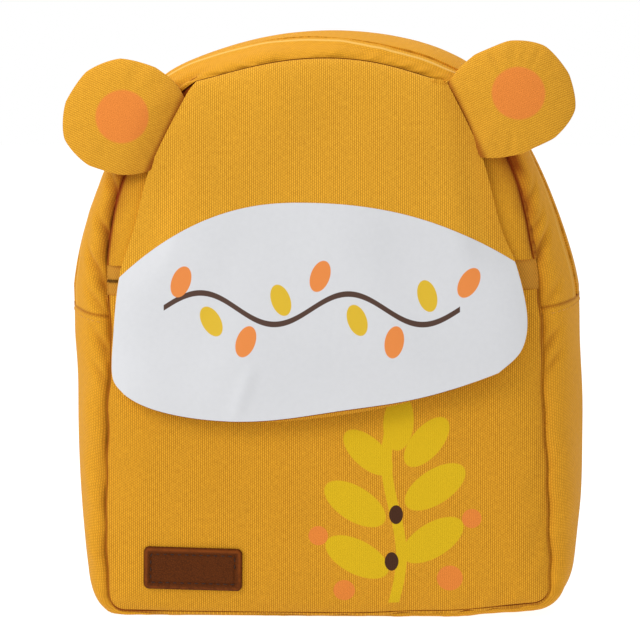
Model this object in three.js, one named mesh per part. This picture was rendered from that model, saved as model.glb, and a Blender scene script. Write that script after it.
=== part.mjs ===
// A small child's backpack, filled and standing: a hollow woven body with a colour-blocked flap over a
// zipped front pocket, two padded ears, a leather patch and padded shoulder straps.
// Millimetres, +Z up. X runs across the bag and its front faces -Y. The origin is the middle of its base.

import * as THREE from 'three';

// Driving dimensions of the woven body
const HEIGHT = 271.5;
// The filled bag slumps to one side between its hip and its shoulder, and its crown comes back
const LEAN = { base: 1.5, slump: -4.5, hipZ: 40, shoulderZ: 235, crown: 5, crownZ: 246 };
const CLOTH = 1.8;
const SEAM_GAP = 0.6;

// The outline of the body at its front seam, at its fullest and at its back seam. base, hip, side,
// shoulder and crown are the points that the half outline passes, pull is its slope at the shoulder,
// rise is the share of that slope with which the top sets out, and y gives the section's depth.
const BODY = {
  front: {
    yBase: -46, yCrown: -37, floor: 2.4, baseX: 95, hipX: 103, hipZ: 10.5, hipLean: 0,
    sideX: 99.4, sideZ: 148.5, sideLean: -2.5, shoulderX: 57, shoulderZ: 249.5, crownZ: 260,
    pullX: 33, pullZ: 22, rise: 0.25,
  },
  belly: {
    yBase: -1, yCrown: 7, floor: -4, baseX: 93, hipX: 116.3, hipZ: 22, hipLean: 5.5,
    sideX: 120.4, sideZ: 152, sideLean: 4.5, shoulderX: 75, shoulderZ: 251, crownZ: HEIGHT,
    pullX: 20, pullZ: 20, rise: 0.44,
  },
  back: {
    yBase: 45, yCrown: 40, floor: 6, baseX: 86, hipX: 106, hipZ: 24, hipLean: 1,
    sideX: 103, sideZ: 152, sideLean: 0, shoulderX: 64, shoulderZ: 250, crownZ: 263,
    pullX: 20, pullZ: 20, rise: 0.44,
  },
};
const CORNER_PULL = 0.6; // 0 to 1: how square the bottom corners are
const SIDE_PULL = { hip: 35, below: 60, above: 32 };
const SHOULDER_REACH = 0.44; // how far the shoulder's pull reaches into the top, as a share of it
const CROWN_PULL = 0.46;

// How far the front and back walls stand out from their seams
const FRONT_SHAPE = { roll: 5, rollWidth: 22, dome: 7, domeX: 112, domeZ: 122, domeHeight: 150 };
const BACK_SHAPE = { roll: 4, rollWidth: 20, dome: 4, domeX: 112, domeZ: 130, domeHeight: 150 };

// Angles round the gusset, from the front seam (0) over the fullest line to the back seam (PI)
const GUSSET = { fold: 0.9, zipEnd: 1.18, gap: 0.008, foldLift: 1.2, foldStart: 0.7 };
// Over the right shoulder the zip drifts forward by an angle, which grows and fades again between these
// places on the ring
const ZIP_DRIFT = { angle: 0.42, from: 5.5, grown: 4.6, fading: 4.2, gone: 3.4 };
const ZIP = { tape: 1.2, sink: 1.3, coil: 1.1, coilWidth: 0.16 };
const POCKET_ZIP = { low: 152.1, high: 166, edgeGap: 0.35, slope: 1.9, slopeReach: 60 };
const SLIDER = { body: 8, tab: 10, width: 6, high: 2.6, tabThick: 1.3, clear: 0.3 };
// Where the sliders are parked, as a share of their zip's length. The two of the main zip meet head to
// head, and heading is the way that a pull points along the zip.
const MAIN_SLIDERS = [
  { name: 'main_zip_slider_a', share: 0.779, heading: -1 },
  { name: 'main_zip_slider_b', share: 0.799, heading: 1 },
];
const POCKET_SLIDER = { name: 'pocket_zip_slider', share: 0.18 };

// The flap's two side edges, from the top seam down, and its hem
const FLAP_EDGES = [
  { at: 'top seam', leftX: -59, leftZ: 249, rightX: 52.2, rightZ: 249.4 },
  { at: 'ear top', leftX: -65, leftZ: 240.5, rightX: 55.5, rightZ: 246.5 },
  { at: 'ear foot', leftX: -80.5, leftZ: 209, rightX: 70.5, rightZ: 216 },
  { at: 'brow', leftX: -88, leftZ: 182, rightX: 80, rightZ: 183 },
  { at: 'white corner', leftX: -95, leftZ: 160, rightX: 88, rightZ: 164.5 },
  { at: 'cheek', leftX: -98, leftZ: 132, rightX: 93, rightZ: 142 },
  { at: 'jaw', leftX: -98.3, leftZ: 113.5, rightX: 90.5, rightZ: 127 },
  { at: 'hem corner', leftX: -92.5, leftZ: 106, rightX: 80, rightZ: 117 },
];
const FLAP_HEM = { leftPullX: -72, leftPullZ: 88, rightPullX: 18, rightPullZ: 93 };
const FLAP = { thick: 2.4, topInset: 0.7, topLift: 0.6, hemLift: 8.6, liftPower: 0.8, sink: 3.3 };
const WHITE = {
  thick: 0.8, gap: 0.35, edge: 0.006, hem: 0.008,
  peakX: -11, peakZ: 194.4, leftSpan: 83, leftDrop: 35, rightSpan: 100, rightDrop: 27, power: 2.25,
};

// An ear is sewn on between two rows of the flap's edge
const EAR = { base: 36, width: 53.4, rim: 2.2, crown: 9, gap: 0.9, tilt: 0.06, topRow: 1, footRow: 2 };
// u is the flap's edge that the ear is on, and skew moves its head along that edge. upper and lower
// tell how full the two quarters of its head are, as shares of half its width, and slim is how much
// narrower its lower half is.
const EARS = [
  { name: 'ear_left', u: 0, outward: -1, length: 48.2, skew: 0.06, upper: 0.61, lower: 0.62, slim: 0 },
  { name: 'ear_right', u: 1, outward: 1, length: 51.6, skew: 0, upper: 0.7, lower: 0.74, slim: 2.3 },
];
// The pulls of an ear's outline, as shares of its length
const EAR_SHAPE = { tuck: 1.5, low: 0.12, middle: 0.28, waist: 0.46, high: 0.78 };
const PILLOW = { rings: [0.45, 0.8, 1], power: 0.6 };
const PATCH = { x: -61.4, z: 23.6, wide: 46, high: 20.2, corner: 2.6, thick: 1.4, gap: 0.4, tilt: -0.015 };

// The route of a shoulder strap, from its sewn top end to its sewn lower end. off is the distance of
// its middle behind the back panel.
const STRAP_ROUTE = [
  { at: 'top seam', x: 25.5, z: 255.5, off: 2.6 },
  { at: 'lift-off', x: 27, z: 234, off: 5.6 },
  { at: 'shoulder', x: 31, z: 204, off: 17 },
  { at: 'bow', x: 38, z: 160, off: 30 },
  { at: 'lower bow', x: 47, z: 115, off: 31 },
  { at: 'tongue', x: 57, z: 76, off: 25 },
  { at: 'webbing', x: 69, z: 44, off: 13 },
  { at: 'bar tack', x: 79, z: 26, off: 3.2 },
  { at: 'seam', x: 83, z: 18, off: 2 },
];
const STRAP = {
  padLength: 180, padWide: 46, endWide: 27, taper: 42, thick: 7, sewnThick: 2.6, sewnReach: 24,
  webWide: 25, webThick: 1.5, cornerCut: 0.35,
};
const ADJUSTER = {
  wide: 33, high: 19, thick: 4, slotWide: 26, slotHigh: 4, slotStep: 4, gap: 0.9, webGap: 2.25,
};

const COLOUR = {
  amber: 0xd89828, amberLight: 0xdfa02f, amberDark: 0xc98725, zipTape: 0xac6c23,
  white: 0xdbddde, leather: 0x5a2f14, webbing: 0xb87a22, plastic: 0x2b2320, zipMetal: 0x8a6a3a,
};
const ROUGHNESS = {
  canvas: 0.85, coated: 0.55, tape: 0.7, leather: 0.5, webbing: 0.8, plastic: 0.4, metal: 0.35,
};
const METALNESS = 0.9;

// Rows of facets, as shares of a wall's height or a strip's width
const POCKET_ROWS = [0, 0.15, 0.3, 0.45, 0.56, 0.64, 0.72, 0.8, 0.87, 0.94, 1];
const BACK_ROWS = [0, 0.1, 0.2, 0.32, 0.42, 0.5, 0.58, 0.66, 0.75, 0.83, 0.92, 1];
const FOLD_ROWS = [0, 0.14, 0.3, 0.5, GUSSET.foldStart, 0.88, 1];
const EDGE_CROWDING = 1.25; // how much closer facets lie at a wall's two sides
const NEARBY = 0.01; // a short step along a zip, as a share of its length

const { lerp: mix, smoothstep, clamp } = THREE.MathUtils;

function steps(count, from = 0, to = 1) {
  return Array.from({ length: count + 1 }, (_, i) => mix(from, to, i / count));
}

// Steps from 0 to 1 that lie closer together at both ends
function edgeSteps(count) {
  const angles = steps(count, -EDGE_CROWDING, EDGE_CROWDING);
  return angles.map((angle) => 0.5 + (0.5 * Math.sin(angle)) / Math.sin(EDGE_CROWDING));
}

function lean(z) {
  const slump = LEAN.slump * smoothstep(z, LEAN.hipZ, LEAN.shoulderZ);
  return LEAN.base + slump + LEAN.crown * smoothstep(z, LEAN.crownZ, HEIGHT);
}

// The right half of a body section's outline: base line, bottom corner, lower side, upper side, top
function halfOutline(s) {
  const outline = new THREE.Path();
  const cornerZ = mix(s.hipZ, s.floor, CORNER_PULL);
  outline.moveTo(0, s.floor);
  outline.lineTo(s.baseX, s.floor);
  outline.bezierCurveTo(
    mix(s.baseX, s.hipX, CORNER_PULL), s.floor,
    s.hipX - (s.hipLean * (s.hipZ - cornerZ)) / SIDE_PULL.hip, cornerZ,
    s.hipX, s.hipZ,
  );
  outline.bezierCurveTo(
    s.hipX + s.hipLean, s.hipZ + SIDE_PULL.hip,
    s.sideX, s.sideZ - SIDE_PULL.below,
    s.sideX, s.sideZ,
  );
  outline.bezierCurveTo(
    s.sideX - s.sideLean, s.sideZ + SIDE_PULL.above,
    s.shoulderX + s.pullX, s.shoulderZ - s.pullZ,
    s.shoulderX, s.shoulderZ,
  );
  outline.bezierCurveTo(
    s.shoulderX - SHOULDER_REACH * s.pullX, s.shoulderZ + s.rise * s.pullZ,
    s.shoulderX * CROWN_PULL, s.crownZ,
    0, s.crownZ,
  );
  return outline.curves;
}

const OUTLINES = new Map(Object.values(BODY).map((section) => [section, halfOutline(section)]));
// Places on the half outline, counted in curves from the middle of the base
const PLACE = { baseEnd: 1, shoulder: 4, crown: 5 };
const SIDE_SEAM = { right: 2.98, left: 2.953 }; // where the lower strip meets the upper strips

// A point of the half outline at a place from 0 (base middle) to 5 (crown)
function halfPoint(section, place) {
  const curve = Math.min(Math.floor(place), PLACE.crown - 1);
  return OUTLINES.get(section)[curve].getPoint(place - curve);
}

// A point of the whole outline: up the right side to the crown at 5, and down the left side to 10
function ringPoint(section, turn) {
  const around = THREE.MathUtils.euclideanModulo(turn, 2 * PLACE.crown);
  const left = around > PLACE.crown;
  const point = halfPoint(section, left ? 2 * PLACE.crown - around : around);
  return left ? point.setX(-point.x) : point;
}

function insetPoint(section, place, inset) {
  const step = 1e-3;
  const before = halfPoint(section, Math.max(place - step, 0));
  const after = halfPoint(section, Math.min(place + step, PLACE.crown));
  const along = after.sub(before).normalize();
  return halfPoint(section, place).add(new THREE.Vector2(-along.y, along.x).multiplyScalar(inset));
}

function bisect(low, high, isHigh) {
  for (let i = 0; i < 40; i += 1) {
    const middle = (low + high) / 2;
    if (isHigh(middle)) high = middle;
    else low = middle;
  }
  return (low + high) / 2;
}

function placeAtHeight(section, z) {
  return bisect(PLACE.baseEnd, PLACE.shoulder, (place) => halfPoint(section, place).y > z);
}

function sectionY(section, z) {
  return mix(section.yBase, section.yCrown, z / HEIGHT);
}

function outlineDistance(section) {
  const rim = steps(100, 0, 2 * PLACE.crown).map((turn) => ringPoint(section, turn));
  return (x, z) => {
    const point = new THREE.Vector3(x, z, 0);
    const nearest = new THREE.Vector3();
    const line = new THREE.Line3();
    return Math.min(...rim.slice(1).map((end, i) => {
      line.start.set(rim[i].x, rim[i].y, 0);
      line.end.set(end.x, end.y, 0);
      return line.closestPointToPoint(point, true, nearest).distanceTo(point);
    }));
  };
}

// How far a wall stands out from its seam: a roll along the rim and a shallow dome over the middle
function bulge(shape, distance, x, z) {
  const rim = 1 - (1 - clamp(distance / shape.rollWidth, 0, 1)) ** 2;
  const dome = (1 - (x / shape.domeX) ** 2) * (1 - ((z - shape.domeZ) / shape.domeHeight) ** 2);
  return shape.roll * rim + shape.dome * Math.max(dome, 0);
}

const frontRim = outlineDistance(BODY.front);
const backRim = outlineDistance(BODY.back);

function frontSkin(x, z) {
  const upright = x - lean(z);
  return sectionY(BODY.front, z) - bulge(FRONT_SHAPE, frontRim(upright, z), upright, z);
}

function backSkin(x, z) {
  const upright = x - lean(z);
  return sectionY(BODY.back, z) + bulge(BACK_SHAPE, backRim(upright, z), upright, z);
}

// A closed mesh from points and triangles, turned to face outwards
function closedGeometry(points, triangles) {
  const side = new THREE.Vector3();
  const volume = triangles.reduce(
    (sum, [a, b, c]) => sum + points[a].dot(side.crossVectors(points[b], points[c])), 0,
  );
  const geometry = new THREE.BufferGeometry().setFromPoints(points);
  geometry.setIndex(triangles.flatMap(([a, b, c]) => (volume < 0 ? [a, c, b] : [a, b, c])));
  geometry.computeVertexNormals();
  return geometry;
}

// The direction square to a body sheet, away from the middle of the bag
function squareTo(sheet) {
  const step = 1e-3;
  const middle = new THREE.Vector3(0, 0, HEIGHT / 2);
  return (u, v) => {
    const alongU = sheet(Math.min(u + step, 1), v).sub(sheet(Math.max(u - step, 0), v));
    const alongV = sheet(u, Math.min(v + step, 1)).sub(sheet(u, Math.max(v - step, 0)));
    const normal = alongU.cross(alongV).normalize();
    return normal.dot(sheet(u, v).sub(middle)) < 0 ? normal.negate() : normal;
  };
}

// A sheet moved outwards by lift(u, v)
function raised(sheet, outward, lift) {
  return (u, v) => sheet(u, v).addScaledVector(outward(u, v), lift(u, v));
}

// A cloth wall: the sheet is its outer face, and the inner face lies one thickness further in
function wall(sheet, us, vs, thickness, outward) {
  const inner = raised(sheet, outward, () => -thickness);
  const points = [sheet, inner].flatMap((face) => vs.flatMap((v) => us.map((u) => face(u, v))));
  const wide = us.length;
  const layer = wide * vs.length;
  const triangles = [];
  const quad = (a, b, c, d) => triangles.push([a, b, c], [a, c, d]);
  for (let row = 0; row + 1 < vs.length; row += 1) {
    for (let col = 0; col + 1 < wide; col += 1) {
      const a = row * wide + col;
      quad(a, a + 1, a + 1 + wide, a + wide);
      quad(a + layer, a + wide + layer, a + 1 + wide + layer, a + 1 + layer);
    }
  }
  const rim = [];
  for (let col = 0; col + 1 < wide; col += 1) rim.push(col);
  for (let row = 0; row + 1 < vs.length; row += 1) rim.push(row * wide + wide - 1);
  for (let col = wide - 1; col > 0; col -= 1) rim.push(layer - wide + col);
  for (let row = vs.length - 1; row > 0; row -= 1) rim.push(row * wide);
  rim.forEach((a, i) => {
    const b = rim[(i + 1) % rim.length];
    quad(b, a, a + layer, b + layer);
  });
  return closedGeometry(points, triangles);
}

// A bar from closed rings of points, with flat ends
function bar(rings) {
  const around = rings[0].length;
  const last = (rings.length - 1) * around;
  const triangles = [];
  for (let ring = 0; ring + 1 < rings.length; ring += 1) {
    for (let i = 0; i < around; i += 1) {
      const a = ring * around + i;
      const b = ring * around + ((i + 1) % around);
      triangles.push([a, b, b + around], [a, b + around, a + around]);
    }
  }
  for (let i = 1; i + 1 < around; i += 1) {
    triangles.push([0, i + 1, i], [last, last + i, last + i + 1]);
  }
  return closedGeometry(rings.flat(), triangles);
}

// A padded form over a flat outline: rings shrink to the middle while the two faces swell apart
function pillow(outline, rim, crown) {
  const middle = outline.reduce((sum, p) => sum.add(p), new THREE.Vector2()).divideScalar(outline.length);
  const half = (ring) => rim / 2 + ((crown - rim) / 2) * (1 - ring ** 2) ** PILLOW.power;
  const { rings } = PILLOW;
  const around = outline.length;
  const points = [];
  const triangles = [];
  for (const side of [1, -1]) {
    const centre = points.length;
    points.push(new THREE.Vector3(middle.x, middle.y, side * half(0)));
    for (const ring of rings) {
      for (const p of outline) {
        const at = middle.clone().lerp(p, ring);
        points.push(new THREE.Vector3(at.x, at.y, side * half(ring)));
      }
    }
    const face = (a, b, c) => triangles.push(side > 0 ? [a, b, c] : [a, c, b]);
    for (let i = 0; i < around; i += 1) {
      const next = (i + 1) % around;
      face(centre, centre + 1 + i, centre + 1 + next);
      for (let ring = 0; ring + 1 < rings.length; ring += 1) {
        const a = centre + 1 + ring * around;
        face(a + i, a + around + i, a + around + next);
        face(a + i, a + around + next, a + next);
      }
    }
  }
  const front = 1 + (rings.length - 1) * around;
  const back = points.length - around;
  for (let i = 0; i < around; i += 1) {
    const next = (i + 1) % around;
    triangles.push([front + i, back + i, back + next], [front + i, back + next, front + next]);
  }
  return closedGeometry(points, triangles);
}

const bag = new THREE.Group();

function add(name, geometry, color, roughness, metalness = 0) {
  const mesh = new THREE.Mesh(geometry, new THREE.MeshStandardMaterial({ color, roughness, metalness }));
  mesh.name = name;
  bag.add(mesh);
  return mesh;
}

// The gusset swells from the front seam to the fullest line and back in to the back seam, as an
// ellipse in depth, and lies flat on the ground underneath.
function gussetPoint(turn, angle) {
  const seam = angle < Math.PI / 2 ? BODY.front : BODY.back;
  const edge = ringPoint(seam, turn);
  const full = ringPoint(BODY.belly, turn);
  const at = edge.clone().lerp(full, Math.sin(angle));
  const z = Math.max(at.y, 0);
  const y = mix(sectionY(BODY.belly, z), sectionY(seam, edge.y), Math.abs(Math.cos(angle)));
  return new THREE.Vector3(at.x + lean(z), y, z);
}

function zipDrift(turn, angle) {
  const { from, grown, fading, gone } = ZIP_DRIFT;
  const side = (1 - smoothstep(turn, grown, from)) * smoothstep(turn, gone, fading);
  const near = smoothstep(angle, 0, GUSSET.fold) * (1 - smoothstep(angle, GUSSET.zipEnd, Math.PI));
  return ZIP_DRIFT.angle * side * near;
}

function gussetSheet(turnFrom, turnTo, angleFrom, angleTo) {
  return (u, v) => {
    const turn = mix(turnFrom, turnTo, u);
    const angle = mix(angleFrom, angleTo, v);
    return gussetPoint(turn, angle - zipDrift(turn, angle));
  };
}

const UPPER_TURNS = [SIDE_SEAM.right, 2 * PLACE.crown - SIDE_SEAM.left];
const LOWER_TURNS = [2 * PLACE.crown - SIDE_SEAM.left, 2 * PLACE.crown + SIDE_SEAM.right];
const SIDE_GAP = 0.004; // in turns, along the upper and lower strips' side seam

function gussetLower() {
  const [from, to] = LOWER_TURNS;
  const sheet = gussetSheet(from + SIDE_GAP, to - SIDE_GAP, 0, Math.PI);
  const geometry = wall(sheet, steps(36), steps(14), CLOTH, squareTo(sheet));
  add('gusset_lower', geometry, COLOUR.amber, ROUGHNESS.canvas);
}

function upperStrip(name, angleFrom, angleTo, lift, thickness, rows, color) {
  const [from, to] = UPPER_TURNS;
  const flat = gussetSheet(from, to, angleFrom, angleTo);
  const sheet = raised(flat, squareTo(flat), lift);
  add(name, wall(sheet, steps(30), rows, thickness, squareTo(flat)), color, ROUGHNESS.canvas);
}

function coilRidge(v) {
  return ZIP.coil * (1 - smoothstep(Math.abs(v - 0.5), ZIP.coilWidth / 2, ZIP.coilWidth));
}

const COIL_ROWS = [0, ...[-1, -0.5, 0.5, 1].map((part) => 0.5 + part * ZIP.coilWidth), 1];

function gussetUpper() {
  const foldEdge = (u, v) => GUSSET.foldLift * smoothstep(v, GUSSET.foldStart, 1);
  upperStrip('gusset_upper_front', 0, GUSSET.fold, foldEdge, CLOTH, FOLD_ROWS, COLOUR.amberLight);
  const tape = (u, v) => coilRidge(v) - ZIP.sink;
  const zipFrom = GUSSET.fold + GUSSET.gap;
  const zipTo = GUSSET.zipEnd - GUSSET.gap;
  upperStrip('main_zip', zipFrom, zipTo, tape, ZIP.tape, COIL_ROWS, COLOUR.zipTape);
  upperStrip('gusset_upper_rear', GUSSET.zipEnd, Math.PI, () => 0, CLOTH, steps(7), COLOUR.amberLight);
}

// A slider with its pull, drawn in profile along the zip
function sliderShape() {
  const shape = new THREE.Shape();
  shape.moveTo(-SLIDER.body / 2, 0);
  shape.lineTo(SLIDER.body / 2, 0);
  shape.lineTo(SLIDER.body / 2, SLIDER.high - SLIDER.tabThick);
  shape.lineTo(SLIDER.body / 2 + SLIDER.tab, SLIDER.high - SLIDER.tabThick);
  shape.lineTo(SLIDER.body / 2 + SLIDER.tab, SLIDER.high);
  shape.lineTo(-SLIDER.body / 4, SLIDER.high);
  shape.lineTo(-SLIDER.body / 2, SLIDER.high / 2);
  shape.closePath();
  return shape;
}

function addSlider(name, origin, along, out) {
  const geometry = new THREE.ExtrudeGeometry(sliderShape(), { depth: SLIDER.width, bevelEnabled: false });
  geometry.translate(0, 0, -SLIDER.width / 2);
  const level = out.clone().addScaledVector(along, -out.dot(along)).normalize();
  const across = along.clone().cross(level);
  const slider = add(name, geometry, COLOUR.zipMetal, ROUGHNESS.metal, METALNESS);
  slider.quaternion.setFromRotationMatrix(new THREE.Matrix4().makeBasis(along, level, across));
  slider.position.copy(origin).addScaledVector(level, SLIDER.clear);
}

function mainZipSliders() {
  const angle = (GUSSET.fold + GUSSET.zipEnd) / 2;
  const sheet = gussetSheet(...UPPER_TURNS, angle - NEARBY, angle + NEARBY);
  const middle = (share) => sheet(share, 0.5);
  for (const { name, share, heading } of MAIN_SLIDERS) {
    const along = middle(share + NEARBY).sub(middle(share - NEARBY)).normalize().multiplyScalar(heading);
    const out = squareTo(sheet)(share, 0.5);
    addSlider(name, middle(share).addScaledVector(out, ZIP.coil - ZIP.sink), along, out);
  }
}

const toFront = () => new THREE.Vector3(0, -1, 0);
const toBack = () => new THREE.Vector3(0, 1, 0);

// The pocket zip and the cloth beside it run a little downhill to the left
function zipSlope(x, z) {
  const middle = (POCKET_ZIP.low + POCKET_ZIP.high) / 2;
  const near = 1 - smoothstep(Math.abs(z - middle), 0, POCKET_ZIP.slopeReach);
  return (POCKET_ZIP.slope * near * x) / BODY.front.sideX;
}

// A wall that fills a section's outline between two places: level rows, with a slope of their own where
// one is given, that bow up into the top seam
function panelSheet(section, placeFrom, placeTo, skin, slope = () => 0) {
  const shoulder = insetPoint(section, PLACE.shoulder, SEAM_GAP);
  const archZ = (x) => {
    const place = bisect(PLACE.shoulder, PLACE.crown, (at) => insetPoint(section, at, SEAM_GAP).x < x);
    return insetPoint(section, place, SEAM_GAP).y;
  };
  const arched = placeTo === PLACE.shoulder;
  return (u, v) => {
    const side = 2 * u - 1;
    const edge = insetPoint(section, mix(placeFrom, placeTo, v), SEAM_GAP);
    const rise = arched ? (archZ(Math.abs(side) * shoulder.x) - shoulder.y) * v ** 2 : 0;
    const level = edge.y + rise;
    const x = side * edge.x + lean(level);
    const z = level + slope(x, level);
    return new THREE.Vector3(x, skin(x, z), z);
  };
}

function frontPanels() {
  const section = BODY.front;
  const low = placeAtHeight(section, POCKET_ZIP.low);
  const high = placeAtHeight(section, POCKET_ZIP.high);
  const gapLow = placeAtHeight(section, POCKET_ZIP.low + POCKET_ZIP.edgeGap);
  const gapHigh = placeAtHeight(section, POCKET_ZIP.high - POCKET_ZIP.edgeGap);
  const lower = panelSheet(section, PLACE.baseEnd, low, frontSkin, zipSlope);
  const pocket = wall(lower, edgeSteps(16), POCKET_ROWS, CLOTH, toFront);
  add('front_panel_lower', pocket, COLOUR.amber, ROUGHNESS.canvas);
  const flatTape = panelSheet(section, gapLow, gapHigh, frontSkin, zipSlope);
  const tape = raised(flatTape, toFront, (u, v) => coilRidge(v) - ZIP.sink);
  const strip = wall(tape, edgeSteps(14), COIL_ROWS, ZIP.tape, toFront);
  add('pocket_zip', strip, COLOUR.zipTape, ROUGHNESS.tape);
  const sunk = (x, z) => frontSkin(x, z) + FLAP.sink * smoothstep(z, POCKET_ZIP.high, BODY.front.shoulderZ);
  const upper = panelSheet(section, high, PLACE.shoulder, sunk, zipSlope);
  const above = wall(upper, edgeSteps(14), steps(8), CLOTH, toFront);
  add('front_panel_upper', above, COLOUR.amber, ROUGHNESS.canvas);
  const middle = (share) => tape(share, 0.5);
  const { name, share } = POCKET_SLIDER;
  const along = middle(share + NEARBY).sub(middle(share - NEARBY)).normalize();
  addSlider(name, middle(share), along, toFront());
}

function backPanel() {
  const sheet = panelSheet(BODY.back, PLACE.baseEnd, PLACE.shoulder, backSkin);
  const geometry = wall(sheet, edgeSteps(14), BACK_ROWS, CLOTH, toBack);
  add('back_panel', geometry, COLOUR.amberDark, ROUGHNESS.canvas);
}

function flapEdge(point) {
  return new THREE.SplineCurve(FLAP_EDGES.map(point));
}

const flapLeft = flapEdge(({ leftX, leftZ }) => new THREE.Vector2(leftX, leftZ));
const flapRight = flapEdge(({ rightX, rightZ }) => new THREE.Vector2(rightX, rightZ));
const flapHem = new THREE.CubicBezierCurve(
  flapLeft.getPoint(1),
  new THREE.Vector2(FLAP_HEM.leftPullX, FLAP_HEM.leftPullZ),
  new THREE.Vector2(FLAP_HEM.rightPullX, FLAP_HEM.rightPullZ),
  flapRight.getPoint(1),
);

// The flap's top edge follows the top seam between the shoulders
function flapTop(u) {
  const section = BODY.front;
  const place = mix(PLACE.shoulder, PLACE.crown, 1 - Math.abs(2 * u - 1));
  const point = insetPoint(section, place, FLAP.topInset);
  return new THREE.Vector2((u < 0.5 ? -point.x : point.x) + lean(point.y), point.y);
}

// The flap fills its four edges, and lifts further off the front towards its hem
function flapSheet(u, v) {
  const side = (at) => flapLeft.getPoint(at).lerp(flapRight.getPoint(at), u);
  const top = flapTop(u).sub(side(0)).multiplyScalar((1 - v) ** 2);
  const hem = flapHem.getPoint(u).sub(side(1)).multiplyScalar(v ** 3);
  const at = side(v).add(top).add(hem);
  const lift = mix(FLAP.topLift, FLAP.hemLift, v ** FLAP.liftPower);
  return new THREE.Vector3(at.x, frontSkin(at.x, at.y) - lift, at.y);
}

function whiteArch(x) {
  const left = x < WHITE.peakX;
  const span = left ? WHITE.leftSpan : WHITE.rightSpan;
  const drop = left ? WHITE.leftDrop : WHITE.rightDrop;
  return WHITE.peakZ - drop * (Math.abs(x - WHITE.peakX) / span) ** WHITE.power;
}

function flap() {
  const amber = wall(flapSheet, edgeSteps(16), steps(14), FLAP.thick, toFront);
  add('flap', amber, COLOUR.amberLight, ROUGHNESS.canvas);
  const outer = raised(flapSheet, toFront, () => WHITE.gap + WHITE.thick);
  const archRow = (u) => bisect(0, 1, (v) => {
    const point = flapSheet(u, v);
    return point.z < whiteArch(point.x);
  });
  const white = (u, v) => {
    const across = mix(WHITE.edge, 1 - WHITE.edge, u);
    return outer(across, mix(archRow(across), 1 - WHITE.hem, v));
  };
  const panel = wall(white, edgeSteps(14), steps(8), WHITE.thick, toFront);
  add('flap_white_panel', panel, COLOUR.white, ROUGHNESS.coated);
}

// An ear's outline: a straight sewn edge and a round head, x along the sewn edge and y outwards
function earOutline({ outward, length, skew, upper, lower, slim }) {
  const upperSide = { half: EAR.width / 2, full: upper };
  const lowerSide = { half: EAR.width / 2 - slim, full: lower };
  const [first, second] = outward > 0 ? [upperSide, lowerSide] : [lowerSide, upperSide];
  const heights = ['low', 'middle', 'waist', 'high'].map((part) => length * EAR_SHAPE[part]);
  const [low, middle, waist, high] = heights;
  const shape = new THREE.Shape();
  shape.moveTo(-EAR.base / 2, 0);
  shape.lineTo(EAR.base / 2, 0);
  shape.bezierCurveTo(first.half - EAR_SHAPE.tuck, low, first.half, middle, first.half, waist);
  shape.bezierCurveTo(first.half, high, first.half * first.full, length, 0, length);
  shape.bezierCurveTo(-second.half * second.full, length, -second.half, high, -second.half, waist);
  shape.bezierCurveTo(-second.half, middle, EAR_SHAPE.tuck - second.half, low, -EAR.base / 2, 0);
  return shape.getPoints(6).slice(0, -1).map(({ x, y }) => new THREE.Vector2(x + skew * y, y));
}

function ears() {
  const row = (index) => index / (FLAP_EDGES.length - 1);
  for (const side of EARS) {
    const { name, u, outward } = side;
    const edge = (v) => flapSheet(u, v).add(new THREE.Vector3(0, FLAP.thick / 2, 0));
    const top = edge(row(EAR.topRow));
    const foot = edge(row(EAR.footRow));
    const along = top.clone().sub(foot).multiplyScalar(outward).normalize();
    const out = new THREE.Vector3(outward, EAR.tilt, 0);
    out.addScaledVector(along, -out.dot(along)).normalize();
    const ear = add(name, pillow(earOutline(side), EAR.rim, EAR.crown), COLOUR.amberLight, ROUGHNESS.canvas);
    ear.quaternion.setFromRotationMatrix(new THREE.Matrix4().makeBasis(along, out, along.clone().cross(out)));
    ear.position.copy(top).add(foot).divideScalar(2).addScaledVector(out, EAR.gap);
  }
}

// The patch lies on the pocket: rows of a rounded rectangle, turned a little
function labelPatch() {
  const half = PATCH.high / 2;
  const corner = PATCH.corner;
  const rows = [0, 0.3, 1].map((part) => (part * corner) / PATCH.high);
  const vs = [...rows, 0.5, ...rows.map((row) => 1 - row).reverse()];
  const sheet = (u, v) => {
    const z = mix(-half, half, v);
    const past = Math.max(Math.abs(z) - half + corner, 0);
    const x = (2 * u - 1) * (PATCH.wide / 2 - corner + Math.sqrt(corner ** 2 - past ** 2));
    const at = new THREE.Vector2(x, z).rotateAround(new THREE.Vector2(), PATCH.tilt);
    at.add(new THREE.Vector2(PATCH.x, PATCH.z));
    return new THREE.Vector3(at.x, frontSkin(at.x, at.y) - PATCH.gap - PATCH.thick, at.y);
  };
  add('label_patch', wall(sheet, steps(6), vs, PATCH.thick, toFront), COLOUR.leather, ROUGHNESS.leather);
}

// A flat strap's section: a rectangle with cut corners
function strapRing({ middle, across, out }, width, thickness) {
  const cut = STRAP.cornerCut * thickness;
  const [w, t] = [width / 2, thickness / 2];
  const corners = [
    [w, cut - t], [w, t - cut], [w - cut, t], [cut - w, t],
    [-w, t - cut], [-w, cut - t], [cut - w, -t], [w - cut, -t],
  ];
  return corners.map(([a, o]) => middle.clone().addScaledVector(across, a).addScaledVector(out, o));
}

// A strap's curve behind the back panel: its length, and its place and directions at a distance along it
function strapRoute(mirror) {
  const points = STRAP_ROUTE.map(({ x, z, off }) => {
    const at = mirror * x + lean(z);
    return new THREE.Vector3(at, backSkin(at, z) + off, z);
  });
  const curve = new THREE.CatmullRomCurve3(points, false, 'centripetal');
  const length = curve.getLength();
  const placeAt = (distance) => {
    const along = curve.getTangentAt(distance / length);
    const across = new THREE.Vector3(1, 0, 0).addScaledVector(along, -along.x).normalize();
    return { middle: curve.getPointAt(distance / length), along, across, out: along.clone().cross(across) };
  };
  return { length, placeAt };
}

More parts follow.
